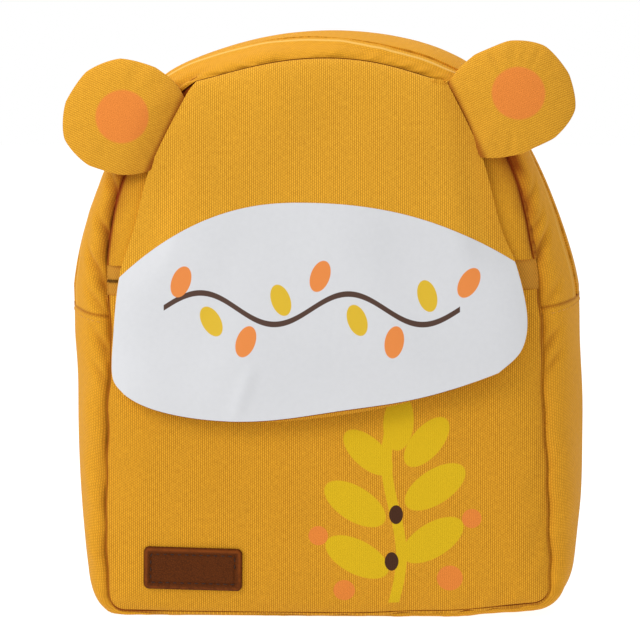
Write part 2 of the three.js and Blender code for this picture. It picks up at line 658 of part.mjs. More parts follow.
function strapPad(side, { placeAt }) {
  const width = (distance) => {
    const taper = smoothstep(distance, STRAP.padLength - STRAP.taper, STRAP.padLength);
    return mix(STRAP.padWide, STRAP.endWide, taper);
  };
  const thick = (distance) => mix(STRAP.sewnThick, STRAP.thick, smoothstep(distance, 0, STRAP.sewnReach));
  const rings = steps(15, 0, STRAP.padLength).map((d) => strapRing(placeAt(d), width(d), thick(d)));
  add(`shoulder_strap_${side}`, bar(rings), COLOUR.amberDark, ROUGHNESS.canvas);
}

// A rectangle round a middle, as corners in order
function rectangle(middleY, halfWide, halfHigh) {
  const corners = [[-1, -1], [1, -1], [1, 1], [-1, 1]];
  return corners.map(([x, y]) => new THREE.Vector2(x * halfWide, middleY + y * halfHigh));
}

// A ladder adjuster: a plate with two slots, which the webbing threads through
function strapAdjuster(side, { placeAt }) {
  const frame = new THREE.Shape(rectangle(0, ADJUSTER.wide / 2, ADJUSTER.high / 2));
  for (const step of [-ADJUSTER.slotStep, ADJUSTER.slotStep]) {
    frame.holes.push(new THREE.Path(rectangle(step, ADJUSTER.slotWide / 2, ADJUSTER.slotHigh / 2).reverse()));
  }
  const plate = new THREE.ExtrudeGeometry(frame, { depth: ADJUSTER.thick, bevelEnabled: false });
  plate.translate(0, 0, -ADJUSTER.thick / 2);
  const { middle, along, across } = placeAt(STRAP.padLength + ADJUSTER.gap + ADJUSTER.high / 2);
  const adjuster = add(`strap_adjuster_${side}`, plate, COLOUR.plastic, ROUGHNESS.plastic);
  const square = across.clone().cross(along);
  adjuster.quaternion.setFromRotationMatrix(new THREE.Matrix4().makeBasis(across, along, square));
  adjuster.position.copy(middle);
}

function strapWebbing(side, { length, placeAt }) {
  const from = STRAP.padLength + ADJUSTER.high + ADJUSTER.webGap;
  const rings = steps(9, from, length).map((d) => strapRing(placeAt(d), STRAP.webWide, STRAP.webThick));
  add(`strap_webbing_${side}`, bar(rings), COLOUR.webbing, ROUGHNESS.webbing);
}

function shoulderStrap(side, mirror) {
  const route = strapRoute(mirror);
  strapPad(side, route);
  strapAdjuster(side, route);
  strapWebbing(side, route);
}

gussetLower();
gussetUpper();
mainZipSliders();
frontPanels();
backPanel();
flap();
ears();
labelPatch();
shoulderStrap('left', -1);
shoulderStrap('right', 1);

export default bag;
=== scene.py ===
"""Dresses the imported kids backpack: cloth walls with rolled seams and puckers, a colour-blocked flap, padded
ears, zips, a leather patch, shoulder straps, stitching, prints, and a plain studio round it.

Shapes are worked out in millimetres and put into meshes in metres.
"""

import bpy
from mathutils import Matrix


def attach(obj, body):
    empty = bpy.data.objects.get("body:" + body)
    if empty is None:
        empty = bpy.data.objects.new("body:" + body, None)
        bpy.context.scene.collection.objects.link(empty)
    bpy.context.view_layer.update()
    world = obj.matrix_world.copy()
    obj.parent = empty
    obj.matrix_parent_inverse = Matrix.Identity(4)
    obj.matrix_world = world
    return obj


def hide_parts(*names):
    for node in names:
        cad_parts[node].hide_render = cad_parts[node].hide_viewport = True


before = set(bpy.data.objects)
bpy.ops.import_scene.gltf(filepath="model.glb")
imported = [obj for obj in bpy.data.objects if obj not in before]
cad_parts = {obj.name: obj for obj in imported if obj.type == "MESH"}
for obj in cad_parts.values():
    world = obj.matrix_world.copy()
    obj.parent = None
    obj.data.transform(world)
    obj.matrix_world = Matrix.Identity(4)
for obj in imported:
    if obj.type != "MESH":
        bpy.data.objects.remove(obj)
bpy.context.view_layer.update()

import math

import bpy
import numpy as np
from mathutils import Vector

bl_info = {
    "name": "Kids backpack",
    "version": (1, 0, 0),
    "blender": (4, 5, 0),
    "location": "3D View > Sidebar > Backpack",
    "description": "Builds the cloth, trim, prints and studio of a small child's backpack",
    "category": "Mesh",
}

MM = 0.001
RIDES_ON = "root"

# The woven body, close to what the part's solids have
HEIGHT = 271.5
LEAN = {"base": 1.5, "slump": -4.5, "hip_z": 40, "shoulder_z": 235, "crown": 5, "crown_z": 246}
SEAM_GAP = -0.3  # panels run a little past their seam, so that no light shows through it
SECTIONS = {
    "front": {
        "y_base": -46, "y_crown": -37, "floor": 2.4, "base_x": 95, "hip_x": 103, "hip_z": 10.5,
        "hip_lean": 0, "side_x": 99.4, "side_z": 148.5, "side_lean": -2.5, "shoulder_x": 57,
        "shoulder_z": 249.5, "crown_z": 260, "pull_x": 33, "pull_z": 22, "rise": 0.15,
    },
    "belly": {
        "y_base": -1, "y_crown": 7, "floor": -4, "base_x": 93, "hip_x": 116.3, "hip_z": 22, "hip_lean": 5.5,
        "side_x": 120.4, "side_z": 152, "side_lean": 4.5, "shoulder_x": 75, "shoulder_z": 251,
        "crown_z": HEIGHT, "pull_x": 20, "pull_z": 20, "rise": 0.44,
    },
    "back": {
        "y_base": 45, "y_crown": 40, "floor": 6, "base_x": 86, "hip_x": 106, "hip_z": 24, "hip_lean": 1,
        "side_x": 103, "side_z": 152, "side_lean": 0, "shoulder_x": 64, "shoulder_z": 250,
        "crown_z": 263, "pull_x": 20, "pull_z": 20, "rise": 0.44,
    },
}
CORNER_PULL = 0.6
SIDE_PULL = {"hip": 35, "below": 60, "above": 32}
SHOULDER_REACH = 0.44
CROWN_PULL = 0.46
BASE_END, SHOULDER, CROWN = 1, 4, 5
SIDE_SEAM = {"right": 2.98, "left": 2.953}
UPPER_TURNS = (SIDE_SEAM["right"], 2 * CROWN - SIDE_SEAM["left"])
LOWER_TURNS = (2 * CROWN - SIDE_SEAM["left"], 2 * CROWN + SIDE_SEAM["right"])
FRONT_SHAPE = {"roll": 5, "roll_width": 22, "dome": 7, "dome_x": 112, "dome_z": 122, "dome_height": 150}
BACK_SHAPE = {"roll": 4, "roll_width": 20, "dome": 4, "dome_x": 112, "dome_z": 130, "dome_height": 150}
ROLL_POWER = 0.72  # below 1, a wall dives more steeply into its seam
FOLD_ANGLE, ZIP_ANGLE = 0.9, 1.18
# Over the right shoulder the zip lies nearer to the front, between places on the ring
ZIP_DRIFT = {"angle": 0.42, "from": 5.5, "grown": 4.6, "fading": 4.2, "gone": 3.4}
# The front strip's edge over the main zip: its lift and the share of the strip where that starts, the angle
# by which it covers the zip, and the shares between which a highlight is painted along it
FOLD = {"lift": 1.2, "start": 0.7, "cover": 0.1, "highlight_from": (0.87, 0.9), "highlight_to": (0.94, 0.91)}
ZIP = {
    "sink": 1.3, "main_sink": 0.9, "coil_pitch": 1.0, "coil_wide": 1.1, "coil_high": 0.6, "wire": 0.28,
    "coil_proud": 0.7, "closed_proud": -0.6, "closing_x": (80, 40),
}
POCKET_ZIP = {"low": 152.1, "high": 166, "slope": 1.9, "slope_reach": 60}

# The flap: left x, left z, right x, right z of its side edges, from the top seam down
FLAP_EDGES = np.array([
    [-59, 249, 52.2, 249.4],
    [-65, 240.5, 55.5, 246.5],
    [-80.5, 209, 70.5, 216],
    [-88, 182, 80, 183],
    [-95, 160, 88, 164.5],
    [-98, 132, 93, 142],
    [-98.3, 113.5, 90.5, 127],
    [-92.5, 106, 80, 117],
])
HEM_PULLS = [(-70, 87.5), (12, 89.6)]
FLAP = {
    "top_inset": 0.1, "top_lift": 0.6, "hem_lift": 8.6, "lift_power": 0.8, "sink": 3.3, "laid": 0.75,
    "laid_across": (0.72, 1), "laid_from": (0.22, 0.38), "laid_to": (0.66, 0.5), "dent": 0.8,
    "dent_long": 62,
}
WHITE = {
    "edge": 0.0015, "peak_x": -11, "peak_z": 194.4, "left_span": 83, "left_drop": 34.1, "right_span": 100,
    "right_drop": 28.3, "power": 2.25, "lift": 0.35,
}
EAR = {
    "base": 36, "width": 53.4, "crown": 9, "fuller": 1.25, "gap": 0.9, "under": 1.8,
    "tilt": 0.06, "top": 1 / 7, "foot": 2 / 7,
}
# sewn_shade is the painted shade towards an ear's sewn edge: deeper on the left ear, whose slope there faces
# away from the key light
EARS = [
    {
        "name": "ear_left", "u": 0, "outward": -1, "length": 48.2, "skew": 0.06, "upper": 0.61,
        "lower": 0.62, "slim": 0, "disc": (1.6, 20.5), "sewn_shade": 0.78, "seed": 61,
    },
    {
        "name": "ear_right", "u": 1, "outward": 1, "length": 51.6, "skew": 0, "upper": 0.7, "lower": 0.74,
        "slim": 2.3, "disc": (1.2, 26), "sewn_shade": 0.96, "seed": 67,
    },
]
EAR_SHAPE = {"tuck": 1.5, "low": 0.12, "middle": 0.28, "waist": 0.46, "high": 0.78}
EAR_FACET = {"long": 17, "high": 0.5}  # the stiff rim turns in short straight stretches
EAR_DISC = 12.3  # radius
PATCH = {
    "x": -61.4, "z": 23.6, "wide": 46, "high": 20.2, "corner": 2.6, "thick": 1.4, "gap": 0.4, "tilt": -0.015,
}

# A shoulder strap's route: x, z and the distance of its middle behind the back panel
STRAP_ROUTE = np.array([
    [25.5, 255.5, 2.6],
    [27, 234, 5.6],
    [31, 204, 17],
    [38, 160, 30],
    [47, 115, 31],
    [57, 76, 25],
    [69, 44, 13],
    [79, 26, 3.2],
    [83, 18, 2],
])
STRAP = {
    "pad_length": 180, "pad_wide": 46, "end_wide": 27, "taper": 42, "thick": 7, "sewn_thick": 2.6,
    "sewn_reach": 24, "web_wide": 25, "web_thick": 1.5,
}
ADJUSTER = {"wide": 33, "high": 19, "thick": 4, "slot_wide": 26, "slot_high": 4, "slot_step": 4, "gap": 0.9}


def from_screen(red, green, blue):
    """A screen colour of 0 to 255 as the linear colour that shaders use: the sRGB curve, undone."""
    parts = [value / 255 for value in (red, green, blue)]
    return tuple(p / 12.92 if p <= 0.04045 else ((p + 0.055) / 1.055) ** 2.4 for p in parts)


class BackpackCloth(bpy.types.PropertyGroup):
    """Thickness of the walls and how uneven they lie"""

    wall: bpy.props.FloatProperty(
        name="Wall", description="Thickness of the woven walls", default=1.8 * MM, unit="LENGTH")
    flap: bpy.props.FloatProperty(
        name="Flap", description="Thickness of the turned flap", default=2.4 * MM, unit="LENGTH")
    seam_roll: bpy.props.FloatProperty(
        name="Seam roll", description="How far the gusset swells beside its front seam", default=2.2 * MM,
        unit="LENGTH")
    pucker: bpy.props.FloatProperty(
        name="Pucker", description="Depth of the gathers along the seams", default=1.1 * MM, unit="LENGTH")
    dent: bpy.props.FloatProperty(
        name="Dent", description="Depth of the slack dents in the walls", default=0.8 * MM, unit="LENGTH")
    weave_pitch: bpy.props.FloatProperty(
        name="Weave pitch", description="Distance between two ribs of the cloth", default=0.96 * MM,
        unit="LENGTH")


class BackpackColours(bpy.types.PropertyGroup):
    """Colours of the cloth, trim and print"""

    amber: bpy.props.FloatVectorProperty(
        name="Amber", description="Woven cloth of the body", subtype="COLOR",
        default=from_screen(214, 150, 35))
    amber_flap: bpy.props.FloatVectorProperty(
        name="Flap amber", description="Woven cloth of the flap", subtype="COLOR",
        default=from_screen(220, 157, 42))
    white: bpy.props.FloatVectorProperty(
        name="White", description="Smooth lower panel of the flap", subtype="COLOR",
        default=from_screen(216, 217, 220))
    orange: bpy.props.FloatVectorProperty(
        name="Orange", description="Printed discs and leaves", subtype="COLOR",
        default=from_screen(233, 136, 57))
    yellow: bpy.props.FloatVectorProperty(
        name="Yellow", description="Printed leaves", subtype="COLOR",
        default=from_screen(222, 182, 26))
    brown: bpy.props.FloatVectorProperty(
        name="Brown", description="Printed stems", subtype="COLOR",
        default=from_screen(74, 45, 30))
    leather: bpy.props.FloatVectorProperty(
        name="Leather", description="Sewn patch", subtype="COLOR",
        default=from_screen(92, 43, 7))
    zip_tape: bpy.props.FloatVectorProperty(
        name="Zip tape", description="Woven tape of the zips", subtype="COLOR",
        default=from_screen(210, 146, 50))
    webbing: bpy.props.FloatVectorProperty(
        name="Webbing", description="Lower strap webbing", subtype="COLOR",
        default=from_screen(184, 122, 34))
    plastic: bpy.props.FloatVectorProperty(
        name="Plastic", description="Moulded strap adjusters", subtype="COLOR",
        default=from_screen(43, 35, 32))
    metal: bpy.props.FloatVectorProperty(
        name="Metal", description="Zip sliders", subtype="COLOR",
        default=from_screen(168, 136, 84))


class BackpackStudio(bpy.types.PropertyGroup):
    """Camera, lights and floor"""

    azimuth: bpy.props.FloatProperty(
        name="Azimuth", description="Camera's turn to the right of the front", default=math.radians(2),
        subtype="ANGLE")
    elevation: bpy.props.FloatProperty(
        name="Elevation", description="Camera's angle above the horizon", default=math.radians(6.5),
        subtype="ANGLE")
    distance: bpy.props.FloatProperty(
        name="Distance", description="From the camera to what it looks at", default=1.4, unit="LENGTH")
    aim: bpy.props.FloatVectorProperty(
        name="Aim", description="Point in the middle of the picture", default=(-0.0041, 0, 0.1345),
        subtype="TRANSLATION", unit="LENGTH")
    lens: bpy.props.FloatProperty(
        name="Lens", description="Focal length in millimetres", default=164.7)
    key_power: bpy.props.FloatProperty(
        name="Key light", description="Power of the soft light from the upper left", default=10.8,
        unit="POWER")
    top_power: bpy.props.FloatProperty(
        name="Top light", description="Power of the soft light overhead", default=7.2, unit="POWER")
    sky: bpy.props.FloatProperty(
        name="Sky", description="Strength of the even light from all round", default=0.57)


def mix(a, b, t):
    """Between a, at t = 0, and b, at t = 1."""
    return a + (b - a) * t


def smooth(value, low, high):
    """0 below low, 1 above high, and a cubic ease between them."""
    t = np.clip((value - low) / (high - low), 0, 1)
    return t * t * (3 - 2 * t)


def unit(vectors):
    """Vectors divided by their lengths."""
    return vectors / np.maximum(np.linalg.norm(vectors, axis=-1, keepdims=True), 1e-9)


def edge_steps(count, turn=1.25):
    """Steps from 0 to 1 that lie closer together at both ends: a stretch of the sine curve."""
    return 0.5 + 0.5 * np.sin(np.linspace(-turn, turn, count + 1)) / math.sin(turn)


def ripple(u, v, wave, seed, count=9):
    """Soft unevenness of about -1 to 1: summed plane waves near one length, turned and shifted at random."""
    random = np.random.default_rng(seed)
    total = np.zeros(np.broadcast(u, v).shape)
    for angle, phase, stretch in random.uniform((0, 0, 0.7), (math.tau, math.tau, 1.5), (count, 3)):
        along = u * math.cos(angle) + v * math.sin(angle)
        total += np.sin(math.tau * along / (wave * stretch) + phase)
    return total / math.sqrt(2 * count)


def gathers(along, off_seam, wave, reach, seed):
    """Puckers beside a seam: uneven waves along it that start at the seam and die out over their reach."""
    waves = ripple(along, off_seam * 0.35, wave, seed)
    return waves * np.exp(-off_seam / reach) * (1 - np.exp(-off_seam / (0.22 * reach)))


def lean(z):
    """The filled bag's sideways slump at a height: a shift from hip to shoulder, taken back at the crown."""
    slump = LEAN["slump"] * smooth(z, LEAN["hip_z"], LEAN["shoulder_z"])
    return LEAN["base"] + slump + LEAN["crown"] * smooth(z, LEAN["crown_z"], HEIGHT)


def half_curves(s):
    """The right half of a section's outline: base line, bottom corner, lower side, upper side and top, each
    as the four control points of a cubic Bezier curve."""
    corner_z = mix(s["hip_z"], s["floor"], CORNER_PULL)
    corner_x = s["hip_x"] - s["hip_lean"] * (s["hip_z"] - corner_z) / SIDE_PULL["hip"]
    shoulder = np.array([s["shoulder_x"], s["shoulder_z"]])
    pull = np.array([s["pull_x"], -s["pull_z"]])
    base = [(s["base_x"] * part / 3, s["floor"]) for part in range(4)]
    corner = [
        base[3], (mix(s["base_x"], s["hip_x"], CORNER_PULL), s["floor"]), (corner_x, corner_z),
        (s["hip_x"], s["hip_z"]),
    ]
    lower = [
        corner[3], (s["hip_x"] + s["hip_lean"], s["hip_z"] + SIDE_PULL["hip"]),
        (s["side_x"], s["side_z"] - SIDE_PULL["below"]), (s["side_x"], s["side_z"]),
    ]
    upper = [
        lower[3], (s["side_x"] - s["side_lean"], s["side_z"] + SIDE_PULL["above"]),
        shoulder + pull, shoulder,
    ]
    top = [
        upper[3], shoulder - pull * (SHOULDER_REACH, s["rise"]),
        (s["shoulder_x"] * CROWN_PULL, s["crown_z"]), (0, s["crown_z"]),
    ]
    return np.array([base, corner, lower, upper, top], float)


CURVES = {name: half_curves(section) for name, section in SECTIONS.items()}


def bezier(points, t):
    """A cubic Bezier curve: its four control points weighted by the Bernstein polynomials of t."""
    a, b, c, d = np.moveaxis(points, -2, 0)
    t = t[..., None]
    return a * (1 - t) ** 3 + 3 * b * t * (1 - t) ** 2 + 3 * c * t ** 2 * (1 - t) + d * t ** 3


def half_point(section, place):
    """A point of the half outline at a place from 0, the middle of the base, to 5, the crown."""
    curve = np.clip(np.floor(place).astype(int), 0, CROWN - 1)
    return bezier(CURVES[section][curve], place - curve)


def ring_point(section, turn):
    """A point of the whole outline: up the right side to the crown at 5, and down the left side to 10."""
    around = np.mod(turn, 2 * CROWN)
    left = around > CROWN
    point = half_point(section, np.where(left, 2 * CROWN - around, around))
    return np.stack([np.where(left, -point[..., 0], point[..., 0]), point[..., 1]], -1)


def inset_point(section, place, inset):
    """A point of the half outline moved inwards, square to the outline."""
    step = 1e-3
    ahead = half_point(section, np.minimum(place + step, CROWN))
    behind = half_point(section, np.maximum(place - step, 0))
    along = unit(ahead - behind)
    inwards = np.stack([-along[..., 1], along[..., 0]], -1)
    return half_point(section, place) + inset * inwards


def place_at_height(section, z):
    """The place on the side of a section's outline at height z, read off a fine table of the outline."""
    places = np.linspace(BASE_END, SHOULDER, 2000)
    return float(np.interp(z, half_point(section, places)[:, 1], places))


def section_y(section, z):
    """A section's depth at a height: a straight line from its base to its crown."""
    return mix(SECTIONS[section]["y_base"], SECTIONS[section]["y_crown"], z / HEIGHT)


def rim_distance(section, x, z):
    """Distance of points from a section's outline: the least over the short straight steps in it."""
    rim = ring_point(section, np.linspace(0, 2 * CROWN, 241))
    best = np.full(np.shape(x), np.inf)
    for start, end in zip(rim[:-1], rim[1:]):
        step = end - start
        length = max(float(step @ step), 1e-9)
        t = np.clip(((x - start[0]) * step[0] + (z - start[1]) * step[1]) / length, 0, 1)
        best = np.minimum(best, np.hypot(x - start[0] - t * step[0], z - start[1] - t * step[1]))
    return best


def bulge(shape, distance, x, z):
    """How far a wall stands out from its seam: a roll along the rim and a shallow dome over the middle."""
    rim = 1 - (1 - np.clip(distance / shape["roll_width"], 0, 1)) ** 2
    dome = (1 - (x / shape["dome_x"]) ** 2) * (1 - ((z - shape["dome_z"]) / shape["dome_height"]) ** 2)
    return shape["roll"] * rim ** ROLL_POWER + shape["dome"] * np.maximum(dome, 0)


def front_skin(x, z):
    """The front wall's depth at a place, and that place's distance from the front seam."""
    upright = x - lean(z)
    distance = rim_distance("front", upright, z)
    return section_y("front", z) - bulge(FRONT_SHAPE, distance, upright, z), distance


def back_skin(x, z):
    """The back wall's depth at a place, and that place's distance from the back seam."""
    upright = x - lean(z)
    distance = rim_distance("back", upright, z)
    return section_y("back", z) + bulge(BACK_SHAPE, distance, upright, z), distance


# The right front bottom corner's lift: two amounts, and the spans over which they grow and fade
FOOT_LIFT = {
    "gentle": 1.3, "gentle_x": (10, 50), "steep": 4.0, "steep_x": (52, 110), "y": (0, -40), "z": (34, 2),
}


def foot_lift(x, y, z):
    """How far the right front bottom corner stands off the ground: rising to the corner, fading upwards."""
    rise = FOOT_LIFT["gentle"] * smooth(x, *FOOT_LIFT["gentle_x"])
    rise = rise + FOOT_LIFT["steep"] * smooth(x, *FOOT_LIFT["steep_x"])
    return rise * smooth(y, *FOOT_LIFT["y"]) * smooth(z, *FOOT_LIFT["z"])


# Where the front seam's sides stray from their even line: side, how far outwards, and the heights between
# which the shift grows and fades
SEAM_SHIFTS = [
    (-1, 2.0, (5, 45), (122, 95)),
    (1, 0.9, (112, 128), (150, 138)),
    (1, -1.8, (153, 172), (206, 188)),
]
SEAM_WAVE = {"high": 0.35, "long": 17, "sides_apart": 40, "grows": (8, 25), "fades": (245, 225)}
SEAM_NEAR = {"inner_x": (58, 84), "outer_x": (118, 105), "y": (-8, -34)}


def seam_shift(x, y, z):
    """How far the front seam's sides stray from their even line: the table's shifts and short uneven waves,
    all of it fading away from the seam."""
    near = smooth(np.abs(x), *SEAM_NEAR["inner_x"]) * smooth(np.abs(x), *SEAM_NEAR["outer_x"])
    wave = SEAM_WAVE["high"] * ripple(z, SEAM_WAVE["sides_apart"] * np.sign(x), SEAM_WAVE["long"], 83)
    out = wave * smooth(z, *SEAM_WAVE["grows"]) * smooth(z, *SEAM_WAVE["fades"])
    for side, far, grows, fades in SEAM_SHIFTS:
        out = out + far * smooth(z, *grows) * smooth(z, *fades) * (x * side > 0)
    return np.sign(x) * near * smooth(y, *SEAM_NEAR["y"]) * out


def gusset_point(turn, angle):
    """The gusset, which swells from the front seam at angle 0 to the fullest line and back in to the back
    seam at pi, as an ellipse in depth, and lies flat on the ground underneath."""
    in_front = angle < math.pi / 2
    edge = np.where(in_front[..., None], ring_point("front", turn), ring_point("back", turn))
    at = mix(edge, ring_point("belly", turn), np.sin(angle)[..., None])
    z = np.maximum(at[..., 1], 0)
    seam_y = np.where(in_front, section_y("front", edge[..., 1]), section_y("back", edge[..., 1]))
    y = mix(section_y("belly", z), seam_y, np.abs(np.cos(angle)))
    x = at[..., 0] + lean(z)
    return np.stack([x + seam_shift(x, y, z), y, z + foot_lift(x, y, z)], -1)


def zip_drift(turn, angle):
    """How far the main zip moves forward over the right shoulder, as an angle round the gusset: full at the
    zip, and fading to the front and back seams."""
    grown = smooth(turn, ZIP_DRIFT["from"], ZIP_DRIFT["grown"])
    kept = smooth(turn, ZIP_DRIFT["gone"], ZIP_DRIFT["fading"])
    near = smooth(angle, 0, FOLD_ANGLE) * smooth(angle, math.pi, ZIP_ANGLE)
    return ZIP_DRIFT["angle"] * grown * kept * near


def even_turns(turn_from, turn_to, count):
    """Turns that lie at even distances along the gusset's fullest line."""
    turns = np.linspace(turn_from, turn_to, 3000)
    line = gusset_point(turns, np.full_like(turns, math.pi / 2))
    return np.interp(np.linspace(0, 1, count + 1), run(line) / run(line)[-1], turns)


def run(points):
    """Distance along a chain of points from its first one."""
    steps = np.linalg.norm(np.diff(points, axis=0), axis=-1)
    return np.concatenate([[0], np.cumsum(steps)])


def grid_run(points, axis):
    """Distance along each row or column of a grid of points."""
    steps = np.linalg.norm(np.diff(points, axis=axis), axis=-1)
    pad = [(0, 0), (0, 0)]
    pad[axis] = (1, 0)
    return np.pad(np.cumsum(steps, axis=axis), pad)


def grid_normals(points, away_from=(0, 0, HEIGHT / 2)):
    """Directions square to a grid: the cross product of its two slopes, turned away from a point."""
    normals = unit(np.cross(np.gradient(points, axis=0), np.gradient(points, axis=1)))
    outward = np.sum(normals * (points - np.array(away_from)), -1).mean()
    return normals if outward > 0 else -normals


def grid_faces(rows, columns, around=False, first=0):
    """Quads of a grid of points that is numbered row by row, closed round its columns if asked."""
    row = np.arange(rows - 1)[:, None] * columns
    column = np.arange(columns if around else columns - 1)[None, :]
    beside = (column + 1) % columns
    quads = np.stack([row + column, row + beside, row + beside + columns, row + column + columns], -1)
    return first + quads.reshape(-1, 4)


def put_mesh(name, points, faces, uv=None):
    """A smooth mesh object from points in millimetres and a list of face arrays, with uv in metres."""
    mesh = bpy.data.meshes.new(name)
    mesh.vertices.add(len(points))
    mesh.vertices.foreach_set("co", np.ascontiguousarray(points * MM, np.float32).ravel())
    loops = np.concatenate([f.ravel() for f in faces]).astype(np.int32)
    sizes = np.concatenate([np.full(len(f), f.shape[1]) for f in faces]).astype(np.int32)
    mesh.loops.add(len(loops))
    mesh.loops.foreach_set("vertex_index", loops)
    mesh.polygons.add(len(sizes))
    mesh.polygons.foreach_set("loop_start", np.concatenate([[0], np.cumsum(sizes)[:-1]]).astype(np.int32))
    mesh.update(calc_edges=True)
    mesh.polygons.foreach_set("use_smooth", np.ones(len(sizes), bool))
    if uv is not None:
        layer = mesh.uv_layers.new(name="cloth")
        layer.data.foreach_set("uv", np.ascontiguousarray((uv * MM)[loops], np.float32).ravel())
    piece = bpy.data.objects.new(name, mesh)
    bpy.context.scene.collection.objects.link(piece)
    return piece


def facing_out(points, faces):
    """The faces of a closed mesh, turned over if the volume that they enclose comes out negative."""
    volume = 0
    for array in faces:
        for corner in range(1, array.shape[1] - 1):
            one, two = points[array[:, corner]], points[array[:, corner + 1]]
            volume += np.sum(points[array[:, 0]] * np.cross(one, two))
    return [array[:, ::-1] for array in faces] if volume < 0 else faces


def set_values(piece, name, values):
    """A number for each point of a piece, which its material reads by name."""
    attribute = piece.data.attributes.new(name, "FLOAT", "POINT")
    attribute.data.foreach_set("value", np.ascontiguousarray(values, np.float32).ravel())


def fit(piece, material, slot, *nodes):
    """Gives a piece its material and body, and says which solids it stands for."""
    piece.data.materials.append(material)
    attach(piece, RIDES_ON)
    if nodes:
        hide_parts(*nodes)
    return piece


def thicken(piece, thickness, round_edge):
    """Makes a sheet a wall behind its face, with rounded cut edges."""
    wall = piece.modifiers.new("wall", "SOLIDIFY")
    wall.thickness = thickness
    wall.offset = -1
    edge = piece.modifiers.new("edge", "BEVEL")
    edge.width = round_edge
    edge.segments = 2
    edge.limit_method = "ANGLE"
    edge.angle_limit = math.radians(55)


def cloth_sheet(name, points, outward, uv, thickness, seam=None, round_edge=0.6 * MM):
    """A cloth wall from a grid of points, with its face turned outward. seam is the painted shade that its
    material reads: 0 at seams and 1 away from them."""
    rows, columns = points.shape[:2]
    faces = grid_faces(rows, columns)
    normals = np.cross(np.gradient(points, axis=1), np.gradient(points, axis=0))
    if np.sum(normals * outward) < 0:
        faces = faces[:, ::-1]
    piece = put_mesh(name, points.reshape(-1, 3), [faces], uv.reshape(-1, 2))
    set_values(piece, "seam", np.ones(rows * columns) if seam is None else seam)
    thicken(piece, thickness, round_edge)
    return piece


class Tree:
    """Short calls that add nodes to a shader tree and link them."""

    def __init__(self, tree):
        self.tree = tree

    def node(self, kind, inputs=(), **settings):
        """A node with its settings, and its inputs by name or number: values or other nodes' outputs."""
        made = self.tree.nodes.new(kind)
        for key, value in settings.items():
            setattr(made, key, value)
        for key, value in dict(inputs).items():
            if isinstance(value, bpy.types.NodeSocket):
                self.tree.links.new(value, made.inputs[key])
            else:
                made.inputs[key].default_value = value
        return made

    def math(self, operation, *values, clamp=False):
        """A number worked out from one, two or three others."""
        made = self.node("ShaderNodeMath", enumerate(values), operation=operation, use_clamp=clamp)
        return made.outputs[0]

    def vector(self, operation, *values):
        """A vector worked out from others, or the length of one."""
        made = self.node("ShaderNodeVectorMath", enumerate(values), operation=operation)
        return made.outputs["Value" if operation == "LENGTH" else "Vector"]

    def colour(self, factor, a, b, blend="MIX"):
        """Two colours mixed by a factor."""
        inputs = {0: factor}
        for key, value in ((6, a), (7, b)):
            inputs[key] = value if isinstance(value, bpy.types.NodeSocket) else (*value[:3], 1)
        return self.node("ShaderNodeMix", inputs, data_type="RGBA", blend_type=blend).outputs[2]

    def number(self, factor, a, b):
        """Two numbers mixed by a factor."""
        return self.node("ShaderNodeMix", {0: factor, 2: a, 3: b}, data_type="FLOAT").outputs[0]

    def span(self, value, low, high, to_low=0.0, to_high=1.0):
        """A value carried from one span to another, held at the ends."""
        inputs = {"Value": value, 1: low, 2: high, 3: to_low, 4: to_high}
        return self.node("ShaderNodeMapRange", inputs, interpolation_type="SMOOTHSTEP").outputs[0]

    def parts(self, vector):
        """The X, Y and Z of a vector."""
        return self.node("ShaderNodeSeparateXYZ", {0: vector}).outputs

    def joined(self, *parts):
        """A vector from its parts."""
        return self.node("ShaderNodeCombineXYZ", enumerate(parts)).outputs[0]

    def noise(self, vector, scale, detail):
        """Noise over a vector, from 0 to 1."""
        inputs = {"Vector": vector, "Scale": scale, "Detail": detail}
        return self.node("ShaderNodeTexNoise", inputs).outputs["Fac"]

    def place(self):
        """The place on the object itself, in metres."""
        return self.node("ShaderNodeTexCoord").outputs["Object"]

    def value_of(self, name):
        """A number that a piece's points hold by name."""
        return self.node("ShaderNodeAttribute", attribute_name=name).outputs["Fac"]

    def feed(self, output, shader, socket):
        """Links an output to one of the shader's sockets."""
        self.tree.links.new(output, shader.inputs[socket])


def new_group(name, inputs, outputs):
    """An empty shader node group: its tree, and its inputs by name. Inputs are name, kind and default."""
    group = bpy.data.node_groups.new(name, "ShaderNodeTree")
    for label, kind, value in inputs:
        socket = group.interface.new_socket(label, in_out="INPUT", socket_type=kind)
        if value is not None:
            socket.default_value = value
    for label, kind in outputs:
        group.interface.new_socket(label, in_out="OUTPUT", socket_type=kind)
    tree = Tree(group)
    entry = tree.node("NodeGroupInput")
    return tree, entry.outputs


FLOAT, VECTOR = "NodeSocketFloat", "NodeSocketVector"


